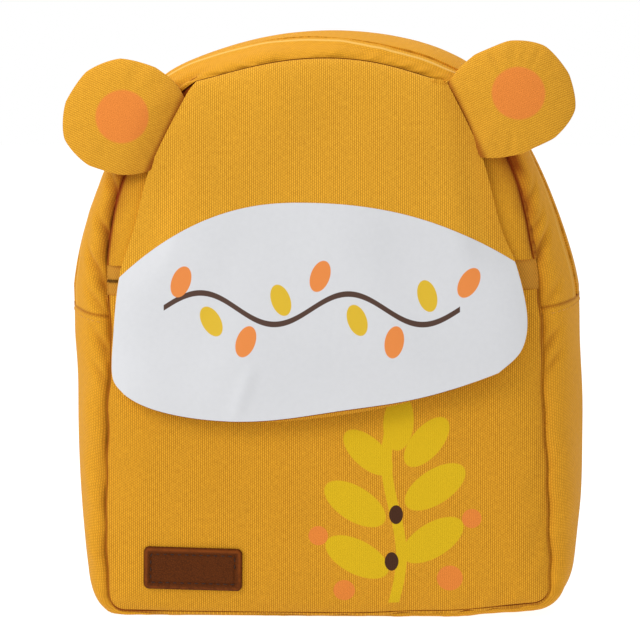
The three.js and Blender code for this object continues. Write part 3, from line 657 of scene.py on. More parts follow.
def rib_weave_group():
    """Canvas weave: staggered dots, where the waves of warp and weft meet, and ribs as far as asked."""
    inputs = [
        ("Vector", VECTOR, None), ("Pitch", FLOAT, 0.00125), ("Rib", FLOAT, 0.5), ("Unevenness", FLOAT, 0.2),
    ]
    tree, given = new_group("rib_weave", inputs, [("Height", FLOAT), ("Tone", FLOAT)])
    noise = tree.noise(given["Vector"], 260.0, 2.0)
    push = tree.math("MULTIPLY", tree.math("SUBTRACT", noise, 0.5), given["Unevenness"])
    parts = tree.parts(given["Vector"])
    across = tree.math("ADD", tree.math("DIVIDE", parts["X"], given["Pitch"]), push)
    closer = tree.math("MULTIPLY", given["Pitch"], 0.65)
    along = tree.math("ADD", tree.math("DIVIDE", parts["Y"], closer), push)
    warp = tree.math("SINE", tree.math("MULTIPLY", across, math.pi))
    weft = tree.math("SINE", tree.math("MULTIPLY", along, math.pi))
    dots = tree.math("MULTIPLY_ADD", tree.math("MULTIPLY", warp, weft), 0.5, 0.5)
    rib = tree.math("POWER", tree.math("ABSOLUTE", warp), 0.7)
    ribbed = tree.math("MULTIPLY", rib, tree.math("MULTIPLY_ADD", dots, 0.4, 0.6))
    height = tree.number(given["Rib"], dots, ribbed)
    drawn_out = tree.vector("MULTIPLY", given["Vector"], (1, 0.4, 1))
    streaks = tree.math("MULTIPLY", tree.noise(drawn_out, 1100.0, 1.0), 0.32)
    tone = tree.math("MULTIPLY_ADD", height, 0.75, streaks, clamp=True)
    tree.node("NodeGroupOutput", {"Height": height, "Tone": tone})
    return tree.tree


def cloth_mottle_group():
    """Uneven dye and handling: broad soft patches and finer flecks, as a tone from 0 to 1."""
    tree, given = new_group("cloth_mottle", [("Vector", VECTOR, None)], [("Tone", FLOAT)])
    broad = tree.math("MULTIPLY", tree.noise(given["Vector"], 22.0, 3.0), 0.6)
    fleck = tree.math("MULTIPLY", tree.noise(given["Vector"], 420.0, 2.0), 0.4)
    tree.node("NodeGroupOutput", {"Tone": tree.math("ADD", broad, fleck)})
    return tree.tree


def print_oval_group():
    """A printed oval: 1 inside an ellipse of given centre, half sizes and turn, with a soft edge."""
    inputs = [
        ("Vector", VECTOR, None), ("Centre", VECTOR, (0, 0, 0)), ("Half sizes", VECTOR, (1, 1, 1)),
        ("Turn", FLOAT, 0.0), ("Soft", FLOAT, 0.03),
    ]
    tree, given = new_group("print_oval", inputs, [("Mask", FLOAT)])
    off = tree.vector("SUBTRACT", given["Vector"], given["Centre"])
    rotation = {"Vector": off, "Angle": given["Turn"]}
    turned = tree.node("ShaderNodeVectorRotate", rotation, rotation_type="Z_AXIS").outputs[0]
    reach = tree.vector("LENGTH", tree.vector("DIVIDE", turned, given["Half sizes"]))
    outside, inside = tree.math("ADD", 1.0, given["Soft"]), tree.math("SUBTRACT", 1.0, given["Soft"])
    tree.node("NodeGroupOutput", {"Mask": tree.span(reach, outside, inside)})
    return tree.tree


def print_wave_group():
    """A printed stem: 1 within half a width of a sine wave along X, between two ends."""
    inputs = [
        ("Vector", VECTOR, None), ("Start", FLOAT, 0.0), ("End", FLOAT, 0.1), ("Level", FLOAT, 0.0),
        ("Swing", FLOAT, 0.01), ("Wave", FLOAT, 0.05), ("Width", FLOAT, 0.002),
    ]
    tree, given = new_group("print_wave", inputs, [("Mask", FLOAT)])
    parts = tree.parts(given["Vector"])
    past_start = tree.math("SUBTRACT", parts["X"], given["Start"])
    past_end = tree.math("SUBTRACT", parts["X"], given["End"])
    turn = tree.math("MULTIPLY", tree.math("DIVIDE", past_start, given["Wave"]), math.tau)
    line = tree.math("MULTIPLY_ADD", tree.math("SINE", turn), given["Swing"], given["Level"])
    off = tree.math("ABSOLUTE", tree.math("SUBTRACT", parts["Y"], line))
    soft = 0.00012
    half = tree.math("MULTIPLY", given["Width"], 0.5)
    inside = tree.span(tree.math("SUBTRACT", off, half), soft, -soft)
    between = tree.math("MULTIPLY", tree.span(past_start, -soft, soft), tree.span(past_end, soft, -soft))
    tree.node("NodeGroupOutput", {"Mask": tree.math("MULTIPLY", inside, between)})
    return tree.tree


def pore_grain_group():
    """Leather or moulded grain: small cells with sunk borders, as a height."""
    inputs = [("Vector", VECTOR, None), ("Scale", FLOAT, 900.0)]
    tree, given = new_group("pore_grain", inputs, [("Height", FLOAT)])
    places = {"Vector": given["Vector"], "Scale": given["Scale"]}
    cells = tree.node("ShaderNodeTexVoronoi", places, feature="DISTANCE_TO_EDGE").outputs["Distance"]
    noise = tree.noise(given["Vector"], given["Scale"], 2.0)
    height = tree.math("MULTIPLY_ADD", noise, 0.4, tree.span(cells, 0, 0.25))
    tree.node("NodeGroupOutput", {"Height": height})
    return tree.tree


GROUP_MAKERS = {
    "rib_weave": rib_weave_group,
    "cloth_mottle": cloth_mottle_group,
    "print_oval": print_oval_group,
    "print_wave": print_wave_group,
    "pore_grain": pore_grain_group,
}


def group_node(tree, name, inputs):
    """A node group in a material, built the first time that it is asked for."""
    group = bpy.data.node_groups.get(name) or GROUP_MAKERS[name]()
    return tree.node("ShaderNodeGroup", inputs, node_tree=group)


def new_material(name, roughness=None, metallic=0.0, sheen=0.0, gloss=0.5):
    """A material with a bare Principled shader: the material, its tree and the shader node."""
    material = bpy.data.materials.new(name)
    material.use_nodes = True
    tree = Tree(material.node_tree)
    shader = material.node_tree.nodes["Principled BSDF"]
    shader.inputs["Metallic"].default_value = metallic
    shader.inputs["Sheen Weight"].default_value = sheen
    shader.inputs["Specular IOR Level"].default_value = gloss
    if roughness is not None:
        shader.inputs["Roughness"].default_value = roughness
    return material, tree, shader


def cloth_uv(tree):
    """The cloth's own directions, in metres: across the ribs and along them."""
    return tree.node("ShaderNodeUVMap", uv_map="cloth").outputs[0]


def face_place(tree):
    """A place on the bag's front as seen from before it: across and up, in metres."""
    parts = tree.parts(tree.place())
    return tree.joined(parts["X"], parts["Z"])


def bump(tree, shader, height, strength, depth):
    """Feeds a height to the shader's normal."""
    made = tree.node("ShaderNodeBump", {"Height": height, "Strength": strength, "Distance": depth})
    tree.feed(made.outputs[0], shader, "Normal")


def tinted(colour, *factors):
    """A colour whose parts are multiplied by a factor each, or all by one, and held at 1."""
    factors = factors if len(factors) > 1 else factors * 3
    return tuple(min(part * factor, 1) for part, factor in zip(colour, factors))


def mottled(tree, base, darkest, lightest):
    """A colour made uneven by the mottle, between two tones."""
    mottle = group_node(tree, "cloth_mottle", {"Vector": tree.place()}).outputs["Tone"]
    patchy = tree.span(mottle, 0.3, 0.7, darkest, lightest)
    return tree.colour(1.0, base, tree.joined(patchy, patchy, patchy), "MULTIPLY")


# Factors on the canvas's red, green and blue: in the weave's hollows, on threads, on a fold's painted
# highlight, in a seam's painted shade
CANVAS_TINTS = {
    "hollow": (0.50, 0.37, 0.16), "thread": (1.37, 1.46, 1.62), "fold": (1.2, 1.6, 7),
    "seam": (0.32, 0.075, 0.01),
}


def woven_material(context, name, colour, print_on=None, rib=0.95, contrast=1.0):
    """Canvas: weave in height and in tone of a given contrast, uneven dye, painted shade in its seams and a
    painted highlight on its folds, with a print where given."""
    material, tree, shader = new_material(name, roughness=0.85, sheen=0.03, gloss=0.12)
    shader.inputs["Sheen Roughness"].default_value = 0.5
    pitch = context.scene.backpack_cloth.weave_pitch
    weave = group_node(tree, "rib_weave", {"Vector": cloth_uv(tree), "Pitch": pitch, "Rib": rib})
    dark = tinted(colour, *(max(mix(1, tint, contrast), 0) for tint in CANVAS_TINTS["hollow"]))
    light = tinted(colour, *(mix(1, tint, contrast) for tint in CANVAS_TINTS["thread"]))
    base = mottled(tree, tree.colour(weave.outputs["Tone"], dark, light), 0.96, 1.03)
    if print_on is not None:
        base = print_on(context, tree, base)
    # Painted highlight where a fold carries one, then painted shade where the seam value falls below 1
    base = tree.colour(tree.value_of("fold"), base, tinted(colour, *CANVAS_TINTS["fold"]))
    base = tree.colour(tree.value_of("seam"), tinted(colour, *CANVAS_TINTS["seam"]), base)
    tree.feed(base, shader, "Base Color")
    bump(tree, shader, weave.outputs["Height"], 0.45, 0.35 * MM)
    return material


def white_material(context):
    """Smooth coated cloth: a fine even weave, soft marks, a little gloss, and the printed vine."""
    material, tree, shader = new_material("white_coated_cloth", roughness=0.55)
    weave = group_node(tree, "rib_weave", {"Vector": cloth_uv(tree), "Pitch": 0.5 * MM})
    base = mottled(tree, tuple(context.scene.backpack_colours.white), 0.97, 1.01)
    tree.feed(vine_print(context, tree, base), shader, "Base Color")
    bump(tree, shader, weave.outputs["Height"], 0.12, 0.1 * MM)
    return material


def stamp(tree, base, colour, mask):
    """A print's colour over what lies under it, where the mask is 1."""
    return tree.colour(mask, base, tuple(colour))


def stamp_stem(tree, base, colour, place, stem):
    """A wavy stem from its table of millimetres: its ends, level, swing, wave length and width."""
    inputs = {name.capitalize(): size * MM for name, size in stem.items()}
    return stamp(tree, base, colour, group_node(tree, "print_wave", {"Vector": place, **inputs}).outputs[0])


def stamp_ovals(context, tree, base, place, ovals):
    """Ovals one after another: x, z, half width, half length, turn in degrees, and the colour's name."""
    for x, z, half_wide, half_long, turn, colour in ovals:
        oval = {
            "Vector": place, "Centre": (x * MM, z * MM, 0), "Turn": math.radians(turn),
            "Half sizes": (half_wide * MM, half_long * MM, 1),
        }
        mask = group_node(tree, "print_oval", oval).outputs[0]
        base = stamp(tree, base, getattr(context.scene.backpack_colours, colour), mask)
    return base


# The vine across the white panel: its stem, its leaves' half sizes, and each leaf's x, z, turn in degrees
# and colour
VINE_STEM = {"start": -74, "end": 62, "level": 146, "swing": 7, "wave": 68, "width": 2.6}
VINE_LEAF = (4.4, 7.4)
VINE_LEAVES = [
    (-66, 158, 20, "orange"),
    (-52, 140, 150, "yellow"),
    (-36, 131, 200, "orange"),
    (-20, 150, -20, "yellow"),
    (-2, 161, 20, "orange"),
    (15, 141, 160, "yellow"),
    (32, 131, 190, "orange"),
    (47, 152, -15, "yellow"),
    (66, 158, 30, "orange"),
]


def vine_print(context, tree, base):
    """A wavy brown stem across the panel with oval leaves on both sides of it."""
    place = face_place(tree)
    base = stamp_stem(tree, base, context.scene.backpack_colours.brown, place, VINE_STEM)
    leaves = [(x, z, *VINE_LEAF, turn, colour) for x, z, turn, colour in VINE_LEAVES]
    return stamp_ovals(context, tree, base, place, leaves)


# The sprig on the pocket: its upright stem, whose level is across the pocket, and each oval's x, z, half
# width, half length, turn in degrees and colour
SPRIG_STEM = {"start": 8, "end": 88, "level": 32, "swing": 3.5, "wave": 90, "width": 5}
SPRIG_OVALS = [
    (15, 30, 8, 16, -62, "yellow"),
    (50, 38, 8, 16, 58, "yellow"),
    (14, 55, 8, 16, -58, "yellow"),
    (51, 63, 8, 16, 56, "yellow"),
    (20, 79, 7, 14, -48, "yellow"),
    (47, 84, 7, 14, 40, "yellow"),
    (34, 93, 7, 13, 4, "yellow"),
    (58, 20, 6, 6, 0, "orange"),
    (9, 14, 5, 5, 0, "orange"),
    (68, 48, 4.5, 4.5, 0, "orange"),
    (-3, 40, 4.5, 4.5, 0, "orange"),
    (33, 50, 3.2, 4.4, 0, "brown"),
    (31, 28, 3.2, 4.4, 0, "brown"),
]


def sprig_print(context, tree, base):
    """An upright yellow stem with oval leaves, round berries and two brown buds."""
    place = face_place(tree)
    parts = tree.parts(place)
    upright = tree.joined(parts["Y"], parts["X"])
    base = stamp_stem(tree, base, context.scene.backpack_colours.yellow, upright, SPRIG_STEM)
    return stamp_ovals(context, tree, base, place, SPRIG_OVALS)


def disc_print(context, tree, base):
    """One orange disc on an ear's front, where its cloth's places start."""
    radius = EAR_DISC * MM
    disc = {"Vector": cloth_uv(tree), "Half sizes": (radius, radius, 1), "Soft": 0.06}
    mask = group_node(tree, "print_oval", disc).outputs[0]
    return stamp(tree, base, context.scene.backpack_colours.orange, mask)


def leather_material(context):
    """Patch leather: pebbled grain, darker in its pores, and a painted highlight along its rounded rim."""
    leather = context.scene.backpack_colours.leather
    material, tree, shader = new_material("pebbled_leather", roughness=0.6, gloss=0.1)
    place = tree.place()
    grain = group_node(tree, "pore_grain", {"Vector": place, "Scale": 1100.0}).outputs[0]
    mottle = group_node(tree, "cloth_mottle", {"Vector": place}).outputs["Tone"]
    base = tree.colour(grain, tinted(leather, 0.6), tinted(leather, 1.15))
    # Painted highlight on the rounded rim, patchy where the mottle is low
    painted_highlight = tree.math("MULTIPLY", tree.value_of("rub"), tree.span(mottle, 0.35, 0.6))
    tree.feed(tree.colour(painted_highlight, base, tinted(leather, 2.1)), shader, "Base Color")
    bump(tree, shader, grain, 0.35, 0.2 * MM)
    return material


def band_material(name, colour, weave, tones, roughness, strength, depth, gloss=0.5):
    """A woven band: its weave, the tones of its hollows and threads, and its relief."""
    material, tree, shader = new_material(name, roughness=roughness, gloss=gloss)
    woven_band = group_node(tree, "rib_weave", {"Vector": cloth_uv(tree), **weave})
    hollow, thread = (tinted(colour, tone) for tone in tones)
    tree.feed(tree.colour(woven_band.outputs["Tone"], hollow, thread), shader, "Base Color")
    bump(tree, shader, woven_band.outputs["Height"], strength, depth)
    return material


def tape_material(context):
    """Zip tape: a finer weave with low ribs along the tape."""
    colour, weave = context.scene.backpack_colours.zip_tape, {"Pitch": 1.0 * MM, "Rib": 0.2}
    return band_material("zip_tape_weave", colour, weave, (0.62, 1.12), 0.8, 0.5, 0.25 * MM, gloss=0.1)


def webbing_material(context):
    """Strap webbing: coarse ribs along the strap."""
    colour, weave = context.scene.backpack_colours.webbing, {"Pitch": 1.9 * MM}
    return band_material("webbing_weave", colour, weave, (0.55, 1.15), 0.75, 0.7, 0.45 * MM)


def plain_material(name, colour, roughness, metallic=0.0, scale=1500.0, depth=0.05 * MM, gloss=0.5):
    """Moulded plastic, thread or cast metal: a fine grain that varies the gloss and the height."""
    material, tree, shader = new_material(name, metallic=metallic, gloss=gloss)
    grain = group_node(tree, "pore_grain", {"Vector": tree.place(), "Scale": scale}).outputs[0]
    tree.feed(tree.colour(grain, tinted(colour, 0.85), tinted(colour, 1.1)), shader, "Base Color")
    tree.feed(tree.span(grain, 0, 1.2, roughness + 0.1, roughness - 0.05), shader, "Roughness")
    bump(tree, shader, grain, 0.25, depth)
    return material


def found_material(name, maker, *values, **settings):
    """A material made once and used by several pieces."""
    return bpy.data.materials.get(name) or maker(*values, **settings)


def plain(name, colour, roughness, **settings):
    """A plain material made once."""
    return found_material(name, plain_material, name, colour, roughness, **settings)


def woven(context, name="amber_canvas", colour=None, **settings):
    """The body's canvas, in its own colour or another."""
    shade = tuple(colour or context.scene.backpack_colours.amber)
    return found_material(name, woven_material, context, name, shade, **settings)


def seam_shade(*distances, reach=0.6):
    """Painted shade: 0 on a seam and 1 away from all of the seams whose distances are given."""
    nearest = distances[0]
    for distance in distances[1:]:
        nearest = np.minimum(nearest, distance)
    return smooth(nearest / reach, 0.0, 1.0)


def crease_shade(distance, x, z, soft=0.1):
    """The painted shade beside the front seam: a dark line, thinner on the right, and where it is a crease a
    soft darkening of some millimetres, which is deeper below the ears."""
    below_ear = smooth(z, 120, 205)
    widened = np.where(x < 0, 1, 0.5 + 0.4 * below_ear)
    line = seam_shade(distance, reach=0.3 + crease(x, z) * widened)
    uneven = 0.75 + 0.5 * ripple(z, distance, 14, 89)
    dark = soft * (1 + 1.4 * below_ear) * crease(x, z) * uneven * smooth(distance, 7, 0.5)
    return line * (1 - np.clip(dark, 0, 0.85))


def crease(x, z):
    """How much of a crease the front seam is: none along the top and the middle of the base, most under the
    ears."""
    corner = 0.9 * smooth(np.abs(x), 70, 88)
    off_base = np.maximum(smooth(z, 2, 16), corner)
    deepening = 0.45 + 0.85 * smooth(z, 140, 185)
    return smooth(z, 246, 232) * off_base * deepening


GROOVE = {"deep": 1.3, "wide": 1.2}


def groove(distance, x, z):
    """How far cloth is drawn in at the front seam: an exponential of the distance from it."""
    return GROOVE["deep"] * crease(x, z) * np.exp(-distance / GROOVE["wide"])


# Folds that run up and away from the front seam: side, height, distance from the seam, half length, half
# width and depth
GUSSET_FOLDS = [
    (-1, 246, 5, 8, 2.2, 3.0),
    (-1, 199, 3, 9, 2.6, 3.4),
    (-1, 180, 3, 7, 2.2, 3.2),
    (-1, 164, 7, 9, 2.4, 2.8),
    (-1, 155, 3, 5, 1.8, 2.2),
    (-1, 147, 6, 7, 2.0, 1.6),
    (1, 174, 6, 9, 2.2, 3.0),
    (1, 196, 4, 9, 2.0, 1.6),
    (1, 152, 7, 7, 2.2, 1.2),
    (1, 184, 5, 7, 2.0, 1.6),
    (1, 131, 5, 6, 2.0, 1.8),
    (1, 121, 6, 6, 2.0, 1.6),
    (-1, 128, 5, 8, 2.2, 2.0),
    (-1, 114, 5, 7, 2.0, 1.4),
]
FOLD_SLOPE = 0.95  # angle between a fold and the way across the strip


def local_folds(x, z, from_front, thin=1.0):
    """The table's folds as one depth: for each, a long bell along its line and a short one across it, which
    can be made thinner."""
    depth = np.zeros(x.shape)
    rise, off_seam = math.sin(FOLD_SLOPE), math.cos(FOLD_SLOPE)
    for side, height, off, half_long, half_wide, deep in GUSSET_FOLDS:
        up, away = z - height, from_front - off
        along, across = up * rise + away * off_seam, up * off_seam - away * rise
        bell = np.exp(-(along / half_long) ** 2 - (across / (thin * half_wide)) ** 2)
        depth += deep * bell * (x * side > 0)
    return depth


def end_distance(along):
    """Distance from the nearer end of a strip."""
    return np.minimum(along, along[-1:] - along)


def gusset_grid(turns, angles, cloth, seed, gather=1.0, slack=1.0):
    """A stretch of gusset with its cloth's detail along the outward normal: a swell beside the front and
    back seams, gathers along both, slack dents, the table's folds and the front seam's groove. Gives points,
    outward normals, uv, the distances from the front and back seams, and the distance along the strip."""
    turn, angle = np.meshgrid(turns, angles, indexing="ij")
    angle = angle - zip_drift(turn, angle)
    points = gusset_point(turn, angle)
    x, z = points[..., 0], points[..., 2]
    outward = grid_normals(points)
    along = np.broadcast_to(grid_run(points, 0)[:, [len(angles) // 2]], turn.shape)
    table = np.linspace(0, math.pi, 60)
    depth = grid_run(gusset_point(*np.meshgrid(turns, table, indexing="ij")), 1)
    from_front = np.stack([np.interp(at, table, row) for at, row in zip(angle, depth)])
    from_back = depth[:, -1:] - from_front
    near, near_back = from_front / 7, from_back / 9
    front_swell = smooth(z, 256, 236) * near * np.exp(1 - near)
    back_swell = 0.8 * near_back * np.exp(1 - near_back)
    height = cloth.seam_roll / MM * (front_swell + back_swell)
    inside = smooth(end_distance(along), 0, 22)
    pucker = inside * gather * cloth.pucker / MM
    upper_left = smooth(turn, 5.2, 6.2) * smooth(turn, 8.4, 7.2)
    # Rows of gathers: distance from their seam, depth, length of their waves and reach
    rows = [
        (from_front, 1 + 1.2 * upper_left, 17, 9),
        (from_front, 0.7, 7, 4),
        (from_back, 1, 15, 9),
    ]
    for step, (off_seam, deep, wave, reach) in enumerate(rows):
        height += pucker * deep * gathers(along, off_seam, wave, reach, seed + step)
    dents = ripple(along, from_front, 55, seed + 3) * smooth(from_front, 0, 20)
    height += inside * slack * cloth.dent / MM * dents
    height -= local_folds(x, z, from_front)
    off_seams = smooth(np.minimum(from_front, from_back), 0, 2)
    height = height * off_seams - groove(from_front, x, z)
    points = points + outward * height[..., None]
    points[..., 2] = np.maximum(points[..., 2], 0)
    uv = np.stack([from_front, along], -1)
    return points, outward, uv, from_front, from_back, along


def fold_shade(points, from_front):
    """Painted shade: 1 away from the table's folds, and darker along the bottom of each, most of all near
    the seam.
    """
    near = 0.35 + 0.65 * np.exp(-(from_front / 6) ** 2)
    depth = local_folds(points[..., 0], points[..., 2], from_front, thin=0.7)
    return 1 - np.clip(0.25 * near * depth, 0, 0.7)


END_SHADE = 0.3  # a strip's end is shaded from this far inside its seam
GUSSET_SOFT = 0.24  # depth of the soft darkening beside the front seam


def lower_gusset(cloth):
    """The strip from side seam round the base to side seam, its two ends turned under and topstitched."""
    turns = even_turns(*LOWER_TURNS, 330)
    angles = math.pi * edge_steps(60, 1.1)
    points, outward, uv, front, back, along = gusset_grid(turns, angles, cloth, 11, gather=0.75, slack=0.6)
    from_end = end_distance(along)
    raised = 0.15 * smooth(from_end, 6, 4)
    sewn_in = 0.3 * np.exp(-((from_end - 3.8) / 0.8) ** 2)
    off_seams = smooth(np.minimum(front, back), 0, 4)
    points = points + outward * ((raised - sewn_in) * off_seams)[..., None]
    shade = crease_shade(front, points[..., 0], points[..., 2], GUSSET_SOFT)
    shade = np.minimum(shade, seam_shade(back, from_end + END_SHADE))
    return points, outward, uv, shade * fold_shade(points, front)


class BACKPACK_OT_gusset(bpy.types.Operator):
    """Side and bottom strip, and the two upper strips beside the main zip"""

    bl_idname = "backpack.gusset"
    bl_label = "Gusset"

    def execute(self, context):
        cloth = context.scene.backpack_cloth
        # Painted light: the gusset's canvas is a lighter copy of the body's amber, to brighten the sides and
        # base
        lit_amber = tinted(context.scene.backpack_colours.amber, 1.08)
        material = woven(context, "gusset_canvas", lit_amber, rib=0.75, contrast=0.85)
        self.lower_strip(cloth, material)
        turns = even_turns(*UPPER_TURNS, 330)
        from_end = self.front_strip(turns, cloth, material)
        self.rear_strip(turns, from_end, cloth, material)
        return {"FINISHED"}

    def lower_strip(self, cloth, material):
        """From side seam round the base to side seam."""
        points, outward, uv, shade = lower_gusset(cloth)
        piece = cloth_sheet("gusset_lower_cloth", points, outward, uv, cloth.wall, shade)
        fit(piece, material, "woven_amber", "gusset_lower")

    def front_strip(self, turns, cloth, material):
        """The strip before the zip, whose raised edge folds over it with a painted highlight. Gives its rows'
        end distances.
        """
        share = edge_steps(34, 1.1)
        angles = (FOLD_ANGLE + FOLD["cover"]) * share
        points, outward, uv, front, back, along = gusset_grid(turns, angles, cloth, 23, slack=0.4)
        lift = FOLD["lift"] * smooth(share, FOLD["start"], 1) * mix(0.3, 1, smooth(points[..., 2], 200, 245))
        points = points + outward * lift[..., None]
        z = points[..., 2]
        from_end = end_distance(along)
        shade = crease_shade(front, points[..., 0], z, GUSSET_SOFT)
        shade = np.minimum(shade, seam_shade(from_end + END_SHADE)) * fold_shade(points, front)
        piece = cloth_sheet("gusset_upper_front_cloth", points, outward, uv, cloth.wall, shade)
        # Painted highlight along the raised edge of the fold, fainter down the sides
        painted_highlight = smooth(share, *FOLD["highlight_from"]) * smooth(share, *FOLD["highlight_to"])
        set_values(piece, "fold", painted_highlight * mix(0.35, 1, smooth(z, 200, 250)))
        fit(piece, material, "woven_amber", "gusset_upper_front")
        return from_end[:, :1]

    def rear_strip(self, turns, from_end, cloth, material):
        """The plainer strip behind the zip."""
        angles = mix(ZIP_ANGLE, math.pi, edge_steps(38, 1.1))
        points, outward, uv, front, back, along = gusset_grid(turns, angles, cloth, 37, 0.7, 0.4)
        shade = seam_shade(back, from_end + END_SHADE)
        piece = cloth_sheet("gusset_upper_rear_cloth", points, outward, uv, cloth.wall, shade)
        fit(piece, material, "woven_amber", "gusset_upper_rear")


def zip_slope(x, z):
    """How far the pocket zip and the cloth beside it run uphill to the right: in step with x, and less and
    less above and below the zip."""
    off = np.abs(z - (POCKET_ZIP["low"] + POCKET_ZIP["high"]) / 2)
    return POCKET_ZIP["slope"] * smooth(off, POCKET_ZIP["slope_reach"], 0) * x / SECTIONS["front"]["side_x"]


def panel_places(section, place_from, place_to, across, up):
    """Places that fill a section's outline between two heights: rows level or along the zip's slope, x in
    step with the outline's width, which bow up into the top seam where the panel reaches the shoulders."""
    side, share = np.meshgrid(2 * across - 1, up)
    edge = inset_point(section, mix(place_from, place_to, share), SEAM_GAP)
    z = edge[..., 1]
    if place_to == SHOULDER:
        arch = inset_point(section, np.linspace(CROWN, SHOULDER, 400), SEAM_GAP)
        shoulder = arch[-1]
        rise = np.interp(np.abs(side) * shoulder[0], arch[:, 0], arch[:, 1]) - shoulder[1]
        z = z + rise * share ** 2
    x = side * edge[..., 0] + lean(z)
    return x, z + zip_slope(x, z) if section == "front" else z


def panel_points(x, z, skin, cloth, seed, forward):
    """A wall's points on its skin, with gathers along the rim and slack dents straight out of the wall."""
    y, distance = skin(x, z)
    around = 40 * np.arctan2(z - HEIGHT / 2, x) + 0.6 * (np.abs(x) + np.abs(z - HEIGHT / 2))
    gathered = 0.8 * cloth.pucker / MM * gathers(around, distance, 13, 7, seed)
    dented = cloth.dent / MM * ripple(x, z, 70, seed + 1) * smooth(distance, 0, 25)
    height = gathered + dented - groove(distance, x, z) * (forward < 0)
    x = x + seam_shift(x, y, z)
    return np.stack([x, y + forward * height, z + foot_lift(x, y, z)], -1), distance


FRONT, BACK = np.array([0, -1.0, 0]), np.array([0, 1.0, 0])


class BACKPACK_OT_panels(bpy.types.Operator):
    """Pocket wall, front wall above the pocket zip, and back wall"""

    bl_idname = "backpack.panels"
    bl_label = "Panels"

    def execute(self, context):
        cloth = context.scene.backpack_cloth
        printed = woven(context, "amber_canvas_printed", print_on=sprig_print, contrast=1.2)
        canvas = woven(context)
        low = place_at_height("front", POCKET_ZIP["low"])
        high = place_at_height("front", POCKET_ZIP["high"])
        x, z = panel_places("front", BASE_END, low, edge_steps(150), edge_steps(120, 1.1))
        points, distance = panel_points(x, z, front_skin, cloth, 41, -1)
        self.add("front_panel_lower", points, FRONT, crease_shade(distance, x, z), cloth, printed)
        x, z = panel_places("front", high, SHOULDER, edge_steps(120), edge_steps(70, 1.1))
        points, distance = panel_points(x, z, front_skin, cloth, 43, -1)
        points[..., 1] += FLAP["sink"] * smooth(z, POCKET_ZIP["high"], SECTIONS["front"]["shoulder_z"])
        # Painted shade: a dark wedge on the panel beside the tops of the ears, and a fifth darker from below
        # the ears up
        painted_ear_shadow = 0.9 * smooth(z, 226, 240) * smooth(np.abs(x), 48, 58)
        painted_upper_shade = 0.2 * smooth(z, 188, 212)
        shade = np.minimum(crease_shade(distance, x, z), 1 - painted_ear_shadow) * (1 - painted_upper_shade)
        self.add("front_panel_upper", points, FRONT, shade, cloth, canvas)
        x, z = panel_places("back", BASE_END, SHOULDER, edge_steps(120), edge_steps(150, 1.1))
        points, distance = panel_points(x, z, back_skin, cloth, 47, 1)
        self.add("back_panel", points, BACK, seam_shade(distance), cloth, canvas)
        return {"FINISHED"}

    def add(self, node, points, outward, shade, cloth, material):
        """One wall in place of its solid."""
        uv = points[..., [0, 2]]
        piece = cloth_sheet(node + "_cloth", points, outward, uv, cloth.wall, shade)
        fit(piece, material, "woven_amber", node)


def hermite(start, end, slope, next_slope, w):
    """A cubic from start to end, as w goes from 0 to 1, with given slopes at both."""
    cubic = 2 * start - 2 * end + slope + next_slope
    square = 3 * end - 3 * start - 2 * slope - next_slope
    return ((cubic * w + square) * w + slope) * w + start


def spline(points, t):
    """A uniform Catmull-Rom curve through points, with t from 0 to 1: each stretch is a cubic whose end
    slopes are half the step between its neighbours."""
    place = t * (len(points) - 1)
    at = np.clip(np.floor(place).astype(int), 0, len(points) - 2)
    before, start = points[np.maximum(at - 1, 0)], points[at]
    end, after = points[at + 1], points[np.minimum(at + 2, len(points) - 1)]
    return hermite(start, end, (end - before) / 2, (after - start) / 2, (place - at)[..., None])


def flap_top(u):
    """The flap's top edge, which follows the top seam from shoulder to shoulder."""
    point = inset_point("front", mix(SHOULDER, CROWN, 1 - np.abs(2 * u - 1)), FLAP["top_inset"])
    return np.stack([np.where(u < 0.5, -1, 1) * point[..., 0] + lean(point[..., 1]), point[..., 1]], -1)


def flap_place(u, v):
    """A place on the flap, u across and v down: between its sides, pulled to its top edge and its hem."""
    left, right = FLAP_EDGES[:, :2], FLAP_EDGES[:, 2:]
    hem_line = np.array([left[-1], *HEM_PULLS, right[-1]], float)
    top_off = flap_top(u) - mix(left[0], right[0], u[..., None])
    hem_off = bezier(hem_line, u) - mix(left[-1], right[-1], u[..., None])
    side = mix(spline(left, v), spline(right, v), u[..., None])
    return side + top_off * ((1 - v) ** 2)[..., None] + hem_off * (v ** 3)[..., None]


# Soft valleys in the flap: their upper and lower ends x, z, half width and depth
FLAP_VALLEYS = [
    (-70, 214, -80, 172, 6.5, 1.4),
    (64, 222, 72, 178, 6, 1.4),
    (-40, 176, -62, 112, 10, 0.6),
    (30, 176, 58, 118, 11, 0.7),
    (-34, 117, -41, 97, 3.2, -0.9),
]


def valley(x, z, upper_x, upper_z, lower_x, lower_z, half_width):
    """1 along a line between two ends and 0 away from it: a bell across it that fades past its ends."""
    along_x, along_z = lower_x - upper_x, lower_z - upper_z
    length = math.hypot(along_x, along_z)
    share = ((x - upper_x) * along_x + (z - upper_z) * along_z) / length ** 2
    off = ((x - upper_x) * along_z - (z - upper_z) * along_x) / length
    return np.exp(-(off / half_width) ** 2) * smooth(share, -0.35, 0.25) * smooth(share, 1.35, 0.7)


